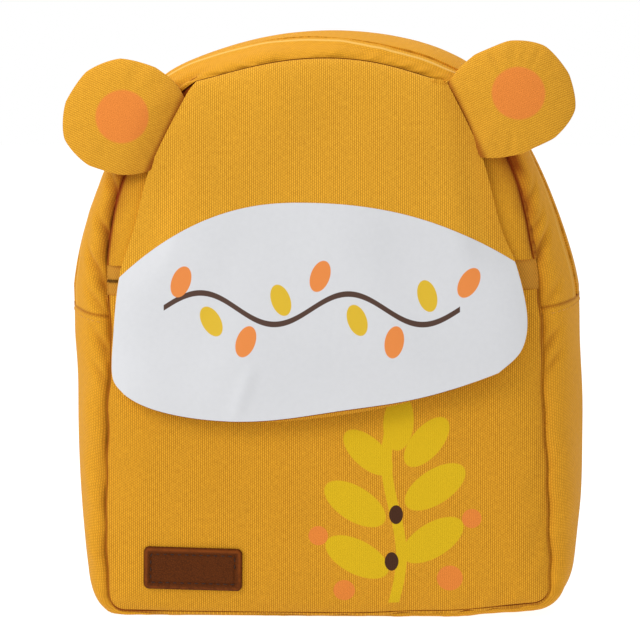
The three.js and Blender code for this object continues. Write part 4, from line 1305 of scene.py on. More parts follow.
def flap_points(u, v, cloth):
    """The flap's outer face: it lies on the front at its top seam and lifts off it towards the hem, less at
    the sides below the ears, with soft valleys and slack dents."""
    place = flap_place(u, v)
    x, z = place[..., 0], place[..., 1]
    y, _ = front_skin(x, z)
    height = mix(FLAP["top_lift"], FLAP["hem_lift"], v ** FLAP["lift_power"])
    laid = smooth(v, *FLAP["laid_from"]) * smooth(v, *FLAP["laid_to"])
    height = height * (1 - FLAP["laid"] * laid * smooth(np.abs(2 * u - 1), *FLAP["laid_across"]))
    for *line, half_width, depth in FLAP_VALLEYS:
        height = height - depth * valley(x, z, *line, half_width)
    dents = ripple(x, z, FLAP["dent_long"], 53) * smooth(v, 0, 0.3)
    height = height + FLAP["dent"] * cloth.dent / MM * dents
    return np.stack([x, y - height, z], -1)


def white_arch(x):
    """The height of the white panel's upper edge: a power curve that falls from its peak to either side."""
    left = x < WHITE["peak_x"]
    span = np.where(left, WHITE["left_span"], WHITE["right_span"])
    drop = np.where(left, WHITE["left_drop"], WHITE["right_drop"])
    return WHITE["peak_z"] - drop * (np.abs(x - WHITE["peak_x"]) / span) ** WHITE["power"]


# The lip of the flap's own cloth below the white panel, as shares of the flap: its width at the sides, how
# much wider it is at its fullest, and the place and half width of that bell
LIP = {"side": 0.0032, "fullest": 0.024, "at": 0.66, "half_wide": 0.15}


def white_hem(u):
    """How far down the flap its white panel reaches: the flap's own cloth shows below it as a lip, which
    widens as a bell does."""
    return 1 - LIP["side"] - LIP["fullest"] * np.exp(-((u - LIP["at"]) / LIP["half_wide"]) ** 2)


class BACKPACK_OT_flap(bpy.types.Operator):
    """Flap over the front pocket, and its smooth white lower panel"""

    bl_idname = "backpack.flap"
    bl_label = "Flap"

    def execute(self, context):
        cloth = context.scene.backpack_cloth
        amber = woven(context, "flap_canvas", context.scene.backpack_colours.amber_flap, contrast=1.12)
        u, v = np.meshgrid(edge_steps(150), edge_steps(170, 1.25))
        points = flap_points(u, v, cloth)
        shade = self.shade(u, v, points)
        piece = cloth_sheet("flap_cloth", points, FRONT, points[..., [0, 2]], cloth.flap, shade)
        fit(piece, amber, "woven_flap", "flap")
        self.white_panel(context, cloth)
        return {"FINISHED"}

    def shade(self, u, v, points):
        """Painted shade: dark at the top seam and under the white panel, and a little on the lip and the right
        edge.
        """
        length = grid_run(points, 0)[-1]
        below_white = (v - white_hem(u)) * length
        # Painted shadow in a thin line just under the white panel's lower edge, and painted shade at the top
        # seam
        off_line = np.abs(below_white - 0.4) + 2 * smooth(np.abs(2 * u - 1), 0.8, 0.95)
        shade = seam_shade(v * length, off_line, reach=0.7)
        # Painted shade on the lip, which faces down
        lip = 0.3 * smooth(below_white, 0, 0.5)
        # Painted shadow along the flap's right edge, below the ear
        from_right = (1 - u) * grid_run(points, 1)[:, -1:]
        edge_shadow = 0.16 * np.exp(-(from_right / 9) ** 2) * smooth(v, 0.1, 0.2) * smooth(v, 0.6, 0.45)
        return shade * (1 - lip) * (1 - edge_shadow)

    def white_panel(self, context, cloth):
        """The flap's own face, from the arch down to just above the hem, a little in front of it."""
        across = mix(WHITE["edge"], 1 - WHITE["edge"], edge_steps(150))
        fine = np.linspace(0, 1, 700)
        place = flap_place(*np.meshgrid(across, fine))
        above = place[..., 1] - white_arch(place[..., 0])
        top = np.array([np.interp(0, -line, fine) for line in above.T])
        u, share = np.meshgrid(across, edge_steps(90, 1.15))
        v = mix(top, white_hem(u), share)
        points = flap_points(u, v, cloth) + WHITE["lift"] * FRONT
        uv = points[..., [0, 2]]
        piece = cloth_sheet("flap_white_cloth", points, FRONT, uv, 0.3 * MM, None, 0.12 * MM)
        white = found_material("white_coated_cloth", white_material, context)
        fit(piece, white, "smooth_white", "flap_white_panel")


def bezier_chain(*curves, count=28):
    """Points along cubic curves laid end to end, without the last point of each."""
    steps = np.linspace(0, 1, count + 1)[:-1]
    return np.concatenate([bezier(np.array(curve, float), steps) for curve in curves])


def ear_outline(side):
    """An ear seen flat: a straight sewn edge along x and a round head, drawn with a line and four curves,
    whose points are then moved along the edge in step with their distance from it."""
    long, base = side["length"], EAR["base"] / 2
    low, middle, waist, high = (EAR_SHAPE[part] * long for part in ("low", "middle", "waist", "high"))
    tuck, under = EAR_SHAPE["tuck"], -EAR["under"]
    halves = [(EAR["width"] / 2, side["upper"]), (EAR["width"] / 2 - side["slim"], side["lower"])]
    (first, first_full), (second, second_full) = halves[::side["outward"]]
    outline = bezier_chain(
        [(-base, under), (-base / 3, under), (base / 3, under), (base, under)],
        [(base, under), (first - tuck, low), (first, middle), (first, waist)],
        [(first, waist), (first, high), (first * first_full, long), (0, long)],
        [(0, long), (-second * second_full, long), (-second, high), (-second, waist)],
        [(-second, waist), (-second, middle), (tuck - second, low), (-base, under)],
    )
    return outline + outline[:, 1:] * np.array([side["skew"], 0])


def faceted(outline, middle, phase):
    """An outline whose round part turns in short straight stretches: its points move out at the corners
    between them and in along them, as a sine without its sign does, away from the sewn edge."""
    around = run(outline)
    corner = 1 - np.abs(np.sin(math.pi * (around / EAR_FACET["long"] + phase)))
    move = EAR_FACET["high"] * (corner - 0.4) * smooth(outline[:, 1], 6, 16)
    return outline + unit(outline - middle) * move[:, None]


def ear_frame(u, outward):
    """Where an ear is sewn on: the middle of its sewn edge, and its ways along, out and square to both."""
    at = np.array([EAR["top"], EAR["foot"]])
    place = flap_place(np.full(2, float(u)), at)
    y, _ = front_skin(place[:, 0], place[:, 1])
    lift = mix(FLAP["top_lift"], FLAP["hem_lift"], at ** FLAP["lift_power"])
    ends = np.stack([place[:, 0], y - lift + 1.2, place[:, 1]], -1)
    along = unit(outward * (ends[0] - ends[1]))
    out = np.array([outward, EAR["tilt"], 0])
    out = unit(out - along * (out @ along))
    return ends.mean(0) + out * EAR["gap"], along, out, np.cross(along, out)


def pillow_heights(ring, turn, seed):
    """Half the thickness of a padded ear: a lens over its outline, with gathers that grow to the rim."""
    lens = (1 - ring ** 2) ** 0.66
    ripples = ripple(np.cos(turn) * 30, np.sin(turn) * 30, 9, seed)
    return EAR["crown"] / 2 * lens * (1 + 0.16 * ripples * smooth(ring, 0.45, 0.95))


class BACKPACK_OT_ears(bpy.types.Operator):
    """Two padded ears, each two faces sewn together round the rim"""

    bl_idname = "backpack.ears"
    bl_label = "Ears"

    def execute(self, context):
        colour = context.scene.backpack_colours.amber_flap
        material = woven(context, "ear_canvas", colour, print_on=disc_print, contrast=0.75)
        for side in EARS:
            self.ear(side, material)
        return {"FINISHED"}

    def ear(self, side, material):
        """Rings that shrink from the outline to the middle, in front and behind, joined at the rim."""
        name, long, skew = side["name"], side["length"], side["skew"]
        middle = 0.45 * long * np.array([skew, 1])
        outline = faceted(ear_outline(side), middle, side["seed"] / 10)
        rings = np.sin(np.linspace(0, math.pi / 2, 23))[1:]
        turn = np.arctan2(outline[:, 1] - middle[1], outline[:, 0] - middle[0])
        flat = middle + rings[:, None, None] * (outline - middle)
        half = pillow_heights(rings[:, None], turn[None, :], side["seed"])
        origin, along, out, square = ear_frame(side["u"], side["outward"])
        forward = square if square[1] < 0 else -square
        front = self.face(flat, EAR["fuller"] * half, origin, along, out, forward)
        back = self.face(flat, -half, origin, along, out, forward)[:-1]
        pole = EAR["crown"] / 2 * forward
        centre = origin + along * middle[0] + out * middle[1]
        poles = [centre + EAR["fuller"] * pole, centre - pole]
        points = np.concatenate([front.reshape(-1, 3), back.reshape(-1, 3), poles])
        away = np.array([1000, 0])  # the back's cloth lies far from the printed disc
        uv = np.concatenate([flat.reshape(-1, 2), flat[:-1].reshape(-1, 2) + away, [middle, middle + away]])
        faces = self.faces(len(rings), len(outline))
        piece = put_mesh(name + "_padded", points, facing_out(points, faces), uv - np.array(side["disc"]))
        # Painted shade: dark where the ear goes under the flap's edge, and a soft darkening towards the sewn
        # edge
        soft = mix(side["sewn_shade"], 1, smooth(uv[:, 1], 0, 18))
        set_values(piece, "seam", soft * mix(0.3, 1, smooth(uv[:, 1], -1.0, 2.0)))
        fit(piece, material, "woven_flap", name)

    def face(self, flat, half, origin, along, out, square):
        """Flat places of the outline carried to the ear's directions, with their heights."""
        return origin + flat[..., :1] * along + flat[..., 1:] * out + half[..., None] * square

    def faces(self, rings, count):
        """Quads between rings on both faces, and fans to the two middles."""
        first_back = rings * count
        front_pole = first_back + (rings - 1) * count
        front = grid_faces(rings, count, around=True)
        back = grid_faces(rings - 1, count, around=True, first=first_back)[:, ::-1]
        here = np.arange(count)
        beside = (here + 1) % count
        rim, inner = (rings - 1) * count, first_back + (rings - 2) * count
        join = np.stack([rim + here, rim + beside, inner + beside, inner + here], -1)
        front_fan = np.stack([np.full(count, front_pole), beside, here], -1)
        back_fan = np.stack([np.full(count, front_pole + 1), first_back + here, first_back + beside], -1)
        return [front, back, join, front_fan, back_fan]


def patch_place(x, z):
    """A place on the patch carried to the bag's front: turned by the patch's tilt and moved."""
    turn = PATCH["tilt"]
    placed_x = PATCH["x"] + x * math.cos(turn) - z * math.sin(turn)
    return placed_x, PATCH["z"] + x * math.sin(turn) + z * math.cos(turn)


def patch_grid(across, up):
    """Places on the patch, in rows of a rounded rectangle, and each place's distance from its edge."""
    half_wide, half_high, corner = PATCH["wide"] / 2, PATCH["high"] / 2, PATCH["corner"]
    u, v = np.meshgrid(across, up)
    z = mix(-half_high, half_high, v)
    over_z = np.maximum(np.abs(z) - half_high + corner, 0)
    x = (2 * u - 1) * (half_wide - corner + np.sqrt(np.maximum(corner ** 2 - over_z ** 2, 0)))
    over_x = np.maximum(np.abs(x) - half_wide + corner, 0)
    straight = np.minimum(half_wide - np.abs(x), half_high - np.abs(z))
    in_corner = (over_x > 0) & (over_z > 0)
    distance = np.where(in_corner, corner - np.hypot(over_x, over_z), straight)
    return *patch_place(x, z), np.maximum(distance, 0)


# The patch's face: the width of its rounded rim, and its border's and groove's height, distance from the
# edge and half width
PATCH_FACE = {"rim": 1.1, "border": (0.35, 1.7, 0.9), "groove": (-0.5, 3.4, 0.55)}


def patch_height(distance):
    """The patch's face over its distance from the edge: a rounded rim, a raised border, a pressed groove."""
    inner = np.clip(distance / PATCH_FACE["rim"], 0, 1)
    height = PATCH["gap"] + PATCH["thick"] * np.sqrt(1 - (1 - inner) ** 2)
    for high, inset, half_wide in (PATCH_FACE["border"], PATCH_FACE["groove"]):
        height = height + high * np.exp(-((distance - inset) / half_wide) ** 2)
    return height


class BACKPACK_OT_patch(bpy.types.Operator):
    """Bare leather patch, low on the pocket"""

    bl_idname = "backpack.patch"
    bl_label = "Patch"

    def execute(self, context):
        x, z, distance = patch_grid(edge_steps(110, 1.35), edge_steps(64, 1.35))
        y, _ = front_skin(x, z)
        soft = 0.12 * ripple(x, z, 9, 71) * smooth(distance, 1, 4)
        points = np.stack([x, y - patch_height(distance) - soft, z], -1)
        faces = grid_faces(*x.shape)[:, ::-1]
        if np.cross(points[0, 1] - points[0, 0], points[1, 0] - points[0, 0])[1] < 0:
            faces = faces[:, ::-1]
        uv = points[..., [0, 2]].reshape(-1, 2)
        piece = put_mesh("label_patch_leather", points.reshape(-1, 3), [faces], uv)
        # Painted highlight along the patch's rounded rim
        set_values(piece, "rub", np.exp(-((distance - 1.2) / 0.7) ** 2))
        backing = piece.modifiers.new("backing", "SOLIDIFY")
        backing.thickness = 0.4 * MM
        backing.offset = -1
        leather = found_material("pebbled_leather", leather_material, context)
        fit(piece, leather, "patch_leather", "label_patch")
        return {"FINISHED"}


def sweep(middles, across, out, profile):
    """A profile carried along a path: each profile point is moved along the path's two side directions."""
    return (
        middles[:, None, :]
        + profile[..., :1] * across[:, None, :]
        + profile[..., 1:] * out[:, None, :]
    )


def tube_mesh(grid, first=0):
    """Faces of a swept grid: quads round it, and a fan of triangles to the middle of each end."""
    rows, columns = grid.shape[:2]
    sides = grid_faces(rows, columns, around=True, first=first)
    here = np.arange(columns)
    beside = (here + 1) % columns
    start, end = rows * columns, rows * columns + 1
    last = (rows - 1) * columns
    start_fan = np.stack([np.full(columns, start), beside, here], -1) + first
    end_fan = np.stack([np.full(columns, end), last + here, last + beside], -1) + first
    points = np.concatenate([grid.reshape(-1, 3), [grid[0].mean(0), grid[-1].mean(0)]])
    return points, [sides, np.concatenate([start_fan, end_fan])]


def joined(grids):
    """Several swept grids as the points and faces of one mesh."""
    points, quads, fans, first = [], [], [], 0
    for grid in grids:
        more, (sides, ends) = tube_mesh(grid, first)
        points.append(more)
        quads.append(sides)
        fans.append(ends)
        first += len(more)
    points = np.concatenate(points)
    return points, facing_out(points, [np.concatenate(quads), np.concatenate(fans)])


def resample(line, places):
    """Points at given distances along a chain of points."""
    return resample_by(line, line, places)


def coil_grid(line, out):
    """A zip's coil: a flat helix along a line, swept as a round wire of five sides."""
    length = run(line)[-1]
    turns = int(length / ZIP["coil_pitch"])
    places = np.linspace(0, length, turns * 9)
    middles, up = resample(line, places), unit(resample_by(line, out, places))
    tangent = unit(np.gradient(middles, axis=0))
    side = unit(np.cross(tangent, up))
    angle = math.tau * places / ZIP["coil_pitch"]
    wire = middles + side * (ZIP["coil_wide"] / 2 * np.cos(angle))[:, None]
    wire = wire + up * (ZIP["coil_high"] / 2 * np.sin(angle))[:, None]
    along = unit(np.gradient(wire, axis=0))
    across = unit(np.cross(along, up + 0.2 * tangent))
    round_it = np.linspace(0, math.tau, 6)[:-1]
    profile = ZIP["wire"] * np.stack([np.cos(round_it), np.sin(round_it)], -1)
    return sweep(wire, across, np.cross(across, along), profile)


def resample_by(line, values, places):
    """Values that belong to a chain's points, read at given distances along it."""
    at = run(line)
    return np.stack([np.interp(places, at, values[:, axis]) for axis in range(3)], -1)


class BACKPACK_OT_zips(bpy.types.Operator):
    """Tapes and coils of the main zip and the pocket zip, and their sliders"""

    bl_idname = "backpack.zips"
    bl_label = "Zips"

    def execute(self, context):
        colours = context.scene.backpack_colours
        tape = found_material("zip_tape_weave", tape_material, context)
        self.main_zip(tape, plain("amber_coil", tinted(colours.zip_tape, 0.85), 0.6, gloss=0.15))
        # The pocket coil is a real coil, darkened as painted shadow of the gap between its tapes
        self.pocket_zip(tape, plain("dark_coil", tinted(colours.zip_tape, 0.3), 0.6, gloss=0.15))
        metal = plain("slider_metal", colours.metal, 0.35, metallic=0.9)
        for node in ("main_zip_slider_a", "main_zip_slider_b", "pocket_zip_slider"):
            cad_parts[node].data.materials.clear()
            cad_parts[node].data.materials.append(metal)
        return {"FINISHED"}

    def main_zip(self, tape, teeth):
        """The strip between the two upper gusset strips, sunk a little below them."""
        turns = even_turns(*UPPER_TURNS, 260)
        angles = np.linspace(FOLD_ANGLE - 0.05, ZIP_ANGLE + 0.04, 13)
        turn, angle = np.meshgrid(turns, angles, indexing="ij")
        points = gusset_point(turn, angle - zip_drift(turn, angle))
        outward = grid_normals(points)
        points = points - outward * ZIP["main_sink"]
        self.tape("main_zip", points, outward, tape, ["gusset_upper_rear_cloth"])
        middle = len(angles) // 2
        line = points[:, middle] + ZIP["coil_proud"] * outward[:, middle]
        self.coil("main_zip_coil", line, outward[:, middle], teeth)

    def pocket_zip(self, tape, teeth):
        """The level strip between the two front walls, which closes over its coil near the right end."""
        low = place_at_height("front", POCKET_ZIP["low"] - 1)
        high = place_at_height("front", POCKET_ZIP["high"] + 1)
        x, z = panel_places("front", low, high, edge_steps(160), np.linspace(0, 1, 15))
        y, _ = front_skin(x, z)
        points = np.stack([x + seam_shift(x, y, z), y + ZIP["sink"], z], -1)
        self.tape("pocket_zip", points, FRONT, tape, ["front_panel_lower_cloth"])
        line = points[len(points) // 2]
        proud = mix(ZIP["closed_proud"], ZIP["coil_proud"], smooth(line[:, 0], *ZIP["closing_x"]))
        outward = np.broadcast_to(FRONT, line.shape)
        self.coil("pocket_zip_coil", line + proud[:, None] * FRONT, outward, teeth)

    def tape(self, node, points, outward, material, rests_on):
        """One tape in place of its solid."""
        uv = np.stack([grid_run(points, 0), grid_run(points, 1)], -1)
        piece = cloth_sheet(node + "_tape", points, outward, uv, 0.8 * MM, None, 0.2 * MM)
        fit(piece, material, "zip_tape", node)

    def coil(self, name, line, out, material):
        """One coil on the middle of its tape."""
        piece = put_mesh(name, *joined([coil_grid(line, out)]))
        fit(piece, material, "zip_tape")


def strap_line(mirror):
    """A shoulder strap's middle line: a centripetal Catmull-Rom curve through its route, whose slopes are
    weighted by the square roots of the distances between points."""
    z = STRAP_ROUTE[:, 1]
    x = mirror * STRAP_ROUTE[:, 0] + lean(z)
    points = np.stack([x, back_skin(x, z)[0] + STRAP_ROUTE[:, 2], z], -1)
    points = np.concatenate([[2 * points[0] - points[1]], points, [2 * points[-1] - points[-2]]])
    gap = np.sqrt(np.linalg.norm(np.diff(points, axis=0), axis=-1))[:, None]
    p0, p1, p2, p3 = points[:-3], points[1:-2], points[2:-1], points[3:]
    d0, d1, d2 = gap[:-2], gap[1:-1], gap[2:]
    slope = d1 * ((p1 - p0) / d0 - (p2 - p0) / (d0 + d1) + (p2 - p1) / d1)
    next_slope = d1 * ((p2 - p1) / d1 - (p3 - p1) / (d1 + d2) + (p3 - p2) / d2)
    line = hermite(p1, p2, slope, next_slope, np.linspace(0, 1, 40)[:-1, None, None])
    return np.concatenate([line.transpose(1, 0, 2).reshape(-1, 3), points[-2:-1]])


def strap_frame(line, places):
    """Middles of a strap at given distances, with its directions across and away from the back."""
    middles = resample(line, places)
    fine = unit(np.gradient(line, axis=0))
    along = unit(resample_by(line, fine, places))
    across = unit(np.array([1.0, 0, 0]) - along * along[:, :1])
    return middles, along, across, np.cross(along, across)


PAD_EDGE = 1.1  # half the thickness of a strap's bound edge


def pad_swell(across, thickness):
    """How far a padded strap's face stands above its bound edge, from the middle at 0 to the edge at 1."""
    return (thickness / 2 - PAD_EDGE) * (1 - np.clip(np.abs(across) / 0.8, 0, 1) ** 3)


def pad_thickness(places):
    """A padded strap's thickness along it: thin where it is sewn on, and full further down."""
    return mix(STRAP["sewn_thick"], STRAP["thick"], smooth(places, 0, STRAP["sewn_reach"]))


def pad_width(places):
    """A padded strap's width along it, which narrows to its tongue."""
    narrow = smooth(places, STRAP["pad_length"] - STRAP["taper"], STRAP["pad_length"])
    return mix(STRAP["pad_wide"], STRAP["end_wide"], narrow)


def pad_profile(width, thickness, count=60):
    """A padded strap's section: two lens faces over a flat bound edge."""
    turn = np.linspace(0, math.tau, count + 1)[:-1]
    across = np.sign(np.cos(turn)) * np.abs(np.cos(turn)) ** 0.55
    half = np.abs(np.sin(turn)) ** 0.4 * PAD_EDGE + pad_swell(across, thickness[:, None])
    return np.stack([across * width[:, None] / 2, np.sign(np.sin(turn)) * half], -1)


def strap_uv(grid, places):
    """A swept band's cloth directions: the distance round its section, and the distance along it."""
    uv = np.stack([grid_run(grid, 1), np.broadcast_to(places[:, None], grid.shape[:2])], -1).reshape(-1, 2)
    return np.concatenate([uv, uv[:1], uv[-1:]])


def flat_profile(width, thickness, count=24):
    """Webbing's section: a flat band with rounded edges, a superellipse."""
    turn = np.linspace(0, math.tau, count + 1)[:-1]
    across = width / 2 * np.sign(np.cos(turn)) * np.abs(np.cos(turn)) ** 0.4
    face = thickness / 2 * np.sign(np.sin(turn)) * np.abs(np.sin(turn)) ** 0.4
    return np.stack([across, face], -1)


class BACKPACK_OT_straps(bpy.types.Operator):
    """Padded shoulder straps, their webbing and the adjusters between them"""

    bl_idname = "backpack.straps"
    bl_label = "Straps"

    def execute(self, context):
        canvas = woven(context)
        web = found_material("webbing_weave", webbing_material, context)
        plastic = plain("moulded_plastic", context.scene.backpack_colours.plastic, 0.4)
        for side, mirror in (("left", -1), ("right", 1)):
            line = strap_line(mirror)
            self.pad(side, line, canvas)
            self.adjuster(side, line, plastic)
            self.webbing(side, line, web)
        return {"FINISHED"}

    def pad(self, side, line, material):
        """A padded band that narrows to its tongue, a little uneven between its ends."""
        places = np.linspace(0, STRAP["pad_length"], 120)
        middles, along, across, out = strap_frame(line, places)
        ends = smooth(places, 0, 5) * smooth(places, STRAP["pad_length"], STRAP["pad_length"] - 6)
        grid = sweep(middles, across, out, pad_profile(pad_width(places), pad_thickness(places)))
        soft = 0.35 * ripple(places[:, None], np.linspace(0, 90, grid.shape[1]), 16, 83)
        grid = grid + out[:, None, :] * (soft * ends[:, None])[..., None]
        points, faces = joined([grid])
        piece = put_mesh(f"shoulder_strap_{side}_padded", points, faces, strap_uv(grid, places))
        set_values(piece, "seam", np.ones(len(points)))
        fit(piece, material, "strap_cloth", f"shoulder_strap_{side}")

    def adjuster(self, side, line, material):
        """A ladder of two side bars and three cross bars with rounded sections."""
        middle = STRAP["pad_length"] + ADJUSTER["gap"] + ADJUSTER["high"] / 2
        origin, along, across, out = (value[0] for value in strap_frame(line, np.array([middle])))
        half_wide, half_high = ADJUSTER["wide"] / 2, ADJUSTER["high"] / 2
        wall = (ADJUSTER["wide"] - ADJUSTER["slot_wide"]) / 2
        bar = half_high - ADJUSTER["slot_step"] - ADJUSTER["slot_high"] / 2
        pieces = [(sign * (half_wide - wall / 2), 0, wall, half_high, True) for sign in (-1, 1)]
        pieces += [(0, sign * (half_high - bar / 2), bar, half_wide - 1, False) for sign in (-1, 1)]
        pieces += [(0, 0, 2 * ADJUSTER["slot_step"] - ADJUSTER["slot_high"], half_wide - 1, False)]
        grids = []
        for x, y, wide, half_long, upright in pieces:
            run_way, side_way = (along, across) if upright else (across, along)
            places = half_long * np.sin(np.linspace(-math.pi / 2, math.pi / 2, 20))
            taper = np.clip(1 - np.abs(places / half_long) ** 14, 0.55, 1)
            middles = origin + x * across + y * along + places[:, None] * run_way
            profile = flat_profile(wide, ADJUSTER["thick"], 16)[None] * taper[:, None, None]
            ways = (side_way, np.cross(run_way, side_way))
            grids.append(sweep(middles, *(np.broadcast_to(way, middles.shape) for way in ways), profile))
        piece = put_mesh(f"strap_adjuster_{side}_moulded", *joined(grids))
        fit(piece, material, "dark_plastic", f"strap_adjuster_{side}")

    def webbing(self, side, line, material):
        """A flat band from the adjuster down to the lower seam."""
        start = STRAP["pad_length"] + ADJUSTER["high"] / 2 + ADJUSTER["gap"] + 1
        places = np.linspace(start, run(line)[-1], 90)
        middles, along, across, out = strap_frame(line, places)
        profile = np.broadcast_to(flat_profile(STRAP["web_wide"], STRAP["web_thick"]), (90, 24, 2))
        grid = sweep(middles, across, out, profile)
        points, faces = joined([grid])
        piece = put_mesh(f"strap_webbing_{side}_woven", points, faces, strap_uv(grid, places))
        fit(piece, material, "strap_webbing", f"strap_webbing_{side}")


STITCH = {"long": 2.3, "gap": 1.0, "half_thick": 0.28, "high": 0.24}


def stitch_row(line, out):
    """Running stitches along a line: each is a short lens of thread, sunk at both ends."""
    length = run(line)[-1]
    count = max(int(length / (STITCH["long"] + STITCH["gap"])), 1)
    places = (np.arange(count) + 0.5) * length / count
    middles = resample(line, places)
    up = unit(resample_by(line, np.broadcast_to(out, line.shape), places))
    along = unit(resample_by(line, unit(np.gradient(line, axis=0)), places))
    side = unit(np.cross(along, up))
    share = np.linspace(-1, 1, 5)
    thick = np.sqrt(np.clip(1 - share ** 2, 0.04, 1))
    turn = np.linspace(0, math.tau, 7)[:-1]
    a = np.broadcast_to(share[:, None] * STITCH["long"] / 2, (5, 6))
    b = STITCH["half_thick"] * thick[:, None] * np.cos(turn)
    c = STITCH["high"] * thick[:, None] * (np.sin(turn) + 0.5) - 0.1 * share[:, None] ** 2
    template = np.stack([a, b, c], -1)
    ways = np.stack([along, side, up], 1)
    return middles[:, None, None, :] + np.einsum("rsk,nkx->nrsx", template, ways)


def stitch_mesh(name, rows, material, slot):
    """All the rows of one thread as one mesh."""
    grids = np.concatenate(rows)
    count, rings, sides = grids.shape[:3]
    faces = grid_faces(rings, sides, around=True)
    caps = np.stack([np.arange(sides)[::-1], (rings - 1) * sides + np.arange(sides)])
    first = (np.arange(count) * rings * sides)[:, None, None]
    points = grids.reshape(-1, 3)
    faces = [(faces + first).reshape(-1, 4), (caps + first).reshape(-1, sides)]
    return fit(put_mesh(name, points, facing_out(points, faces)), material, slot)


class BACKPACK_OT_stitching(bpy.types.Operator):
    """Topstitching on the side seams, pocket zip, straps and patch"""

    bl_idname = "backpack.stitching"
    bl_label = "Stitching"

    def execute(self, context):
        colours = context.scene.backpack_colours
        amber_thread = plain("amber_thread", tinted(colours.amber_flap, 0.92), 0.6)
        brown_thread = plain("brown_thread", tinted(colours.leather, 0.3), 0.6)
        seams = self.side_seams(context.scene.backpack_cloth)
        stitch_mesh("stitching_body", seams + self.zip_edges(), amber_thread, "woven_amber")
        stitch_mesh("stitching_straps", self.strap_edges(), amber_thread, "strap_cloth")
        stitch_mesh("stitching_patch", [self.patch_row()], brown_thread, "patch_leather")
        return {"FINISHED"}

    def side_seams(self, cloth):
        """A row just below each side seam, from the front seam to the back seam."""
        points, outward, _, _ = lower_gusset(cloth)
        inside = slice(5, -5)
        return [stitch_row(points[row, inside], outward[row, inside]) for row in (2, -3)]

    def zip_edges(self):
        """A row along each edge of the pocket zip."""
        rows = []
        for level in (POCKET_ZIP["low"] - 2.2, POCKET_ZIP["high"] + 2.2):
            x = np.linspace(-95, 88, 200)
            z = level + zip_slope(x, level)
            y, _ = front_skin(x, z)
            rows.append(stitch_row(np.stack([x, y - 0.2, z], -1), FRONT))
        return rows

    def strap_edges(self):
        """Two rows on each face of each strap, beside its bound edges, and two across its sewn end."""
        rows = []
        for mirror in (-1, 1):
            places = np.linspace(6, STRAP["pad_length"] - 4, 160)
            middles, along, across, out = strap_frame(strap_line(mirror), places)
            for edge in (-0.41, 0.41):
                for face in (-1, 1):
                    line = middles + across * (edge * pad_width(places))[:, None] + face * 1.15 * out
                    rows.append(stitch_row(line, face * out))
            share = np.linspace(-0.7, 0.7, 40)[:, None]
            for place in (6.5, 13.5):
                middle, along, across, out = strap_frame(strap_line(mirror), np.array([place]))
                height = PAD_EDGE + pad_swell(share, pad_thickness(place))
                line = middle + across * share * STRAP["pad_wide"] / 2 + height * out
                rows.append(stitch_row(line, out))
        return rows

    def patch_row(self):
        """A closed row in the patch's groove: a rounded rectangle inset from its edge."""
        inset, corner = PATCH_FACE["groove"][1], 1.2
        half_wide, half_high = PATCH["wide"] / 2 - inset - corner, PATCH["high"] / 2 - inset - corner
        turn = np.linspace(0, math.tau, 400)
        x = half_wide * np.sign(np.cos(turn)) + corner * np.cos(turn)
        z = half_high * np.sign(np.sin(turn)) + corner * np.sin(turn)
        x, z = patch_place(x, z)
        y, _ = front_skin(x, z)
        level = float(patch_height(np.array(inset)))
        return stitch_row(np.stack([x, y - level - 0.1, z], -1), FRONT)


# Soft lights: place and size in metres
LIGHTS = {"key": ((-1.05, -1.0, 1.05), 0.8), "top": ((-0.15, 0.2, 1.3), 1.0)}


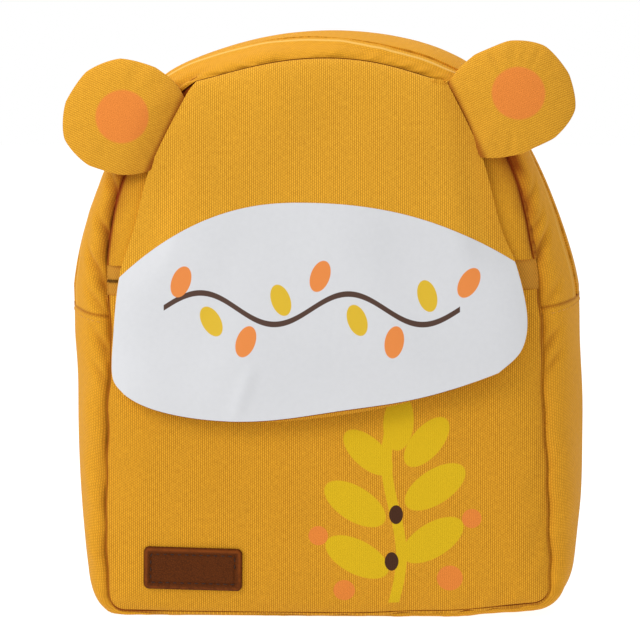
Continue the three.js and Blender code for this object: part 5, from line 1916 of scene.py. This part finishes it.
class BACKPACK_OT_stage(bpy.types.Operator):
    """Floor, lights and camera"""

    bl_idname = "backpack.stage"
    bl_label = "Studio"

    def execute(self, context):
        studio = context.scene.backpack_studio
        self.floor()
        self.lights(context, studio)
        self.camera(context, studio)
        context.scene.view_settings.view_transform = "Standard"
        return {"FINISHED"}

    def floor(self):
        """A wide pale plane just under the bag: a grid that is level all over."""
        x, y = np.meshgrid(np.linspace(-4000, 4000, 9), np.linspace(-4000, 4000, 9))
        points = np.stack([x, y, np.full_like(x, -0.4)], -1)
        piece = put_mesh("studio_floor", points.reshape(-1, 3), [grid_faces(9, 9)])
        material, tree, shader = new_material("studio_floor", roughness=0.6)
        noise = tree.node("ShaderNodeTexNoise", {"Scale": 30.0})
        base = tree.colour(noise.outputs["Fac"], (0.2, 0.2, 0.2), (0.22, 0.22, 0.22))
        tree.feed(base, shader, "Base Color")
        shader.inputs["Emission Color"].default_value = (1, 1, 1, 1)
        seen = tree.node("ShaderNodeLightPath").outputs["Is Camera Ray"]
        tree.feed(tree.number(seen, 0.8, 0.95), shader, "Emission Strength")
        piece.data.materials.append(material)

    def lights(self, context, studio):
        """An even sky, white where the camera sees it, and soft lights from the upper left and overhead."""
        world = bpy.data.worlds.new("studio_sky")
        world.use_nodes = True
        context.scene.world = world
        tree = Tree(world.node_tree)
        sky = world.node_tree.nodes["Background"]
        seen = tree.node("ShaderNodeLightPath").outputs["Is Camera Ray"]
        tree.feed(tree.number(seen, studio.sky, 1.0), sky, "Strength")
        sky.inputs["Color"].default_value = (1, 1, 1, 1)
        self.area_light("key_light", *LIGHTS["key"], studio.key_power)
        self.area_light("top_light", *LIGHTS["top"], studio.top_power)

    def area_light(self, name, place, size, power):
        """A square light that faces the middle of the bag."""
        data = bpy.data.lights.new(name, "AREA")
        data.energy = power
        data.size = size
        light = bpy.data.objects.new(name, data)
        light.location = place
        aim = Vector((0, 0, HEIGHT * MM / 2)) - Vector(place)
        light.rotation_euler = aim.to_track_quat("-Z", "Y").to_euler()
        bpy.context.scene.collection.objects.link(light)

    def camera(self, context, studio):
        """A long lens at the photograph's angle."""
        data = bpy.data.cameras.new("camera")
        data.lens = studio.lens
        camera = bpy.data.objects.new("camera", data)
        level = math.cos(studio.elevation)
        right, before = math.sin(studio.azimuth) * level, math.cos(studio.azimuth) * level
        back = Vector((right, -before, math.sin(studio.elevation)))
        camera.location = Vector(studio.aim) + back * studio.distance
        camera.rotation_euler = (-back).to_track_quat("-Z", "Y").to_euler()
        context.scene.collection.objects.link(camera)
        context.scene.camera = camera


class BACKPACK_PT_sidebar(bpy.types.Panel):
    """Lists the backpack's pieces in the 3D view's sidebar"""

    bl_idname = "BACKPACK_PT_sidebar"
    bl_label = "Backpack"
    bl_space_type = "VIEW_3D"
    bl_region_type = "UI"
    bl_category = "Backpack"

    def draw(self, context):
        for operator in OPERATORS:
            self.layout.operator(operator.bl_idname)


SETTINGS = {
    "backpack_cloth": BackpackCloth,
    "backpack_colours": BackpackColours,
    "backpack_studio": BackpackStudio,
}
OPERATORS = (
    BACKPACK_OT_gusset,
    BACKPACK_OT_panels,
    BACKPACK_OT_flap,
    BACKPACK_OT_ears,
    BACKPACK_OT_patch,
    BACKPACK_OT_zips,
    BACKPACK_OT_straps,
    BACKPACK_OT_stitching,
    BACKPACK_OT_stage,
)


def register():
    """Registers the settings, operators and panel."""
    for kind in (*SETTINGS.values(), *OPERATORS, BACKPACK_PT_sidebar):
        bpy.utils.register_class(kind)
    for name, kind in SETTINGS.items():
        setattr(bpy.types.Scene, name, bpy.props.PointerProperty(type=kind))


def unregister():
    """Takes away what register added."""
    for name in SETTINGS:
        delattr(bpy.types.Scene, name)
    for kind in (BACKPACK_PT_sidebar, *reversed(OPERATORS), *SETTINGS.values()):
        bpy.utils.unregister_class(kind)


def main():
    """Builds every piece in order."""
    register()
    bpy.ops.backpack.gusset()
    bpy.ops.backpack.panels()
    bpy.ops.backpack.flap()
    bpy.ops.backpack.ears()
    bpy.ops.backpack.patch()
    bpy.ops.backpack.zips()
    bpy.ops.backpack.straps()
    bpy.ops.backpack.stitching()
    bpy.ops.backpack.stage()
    bpy.context.view_layer.update()


if __name__ == "__main__":
    main()
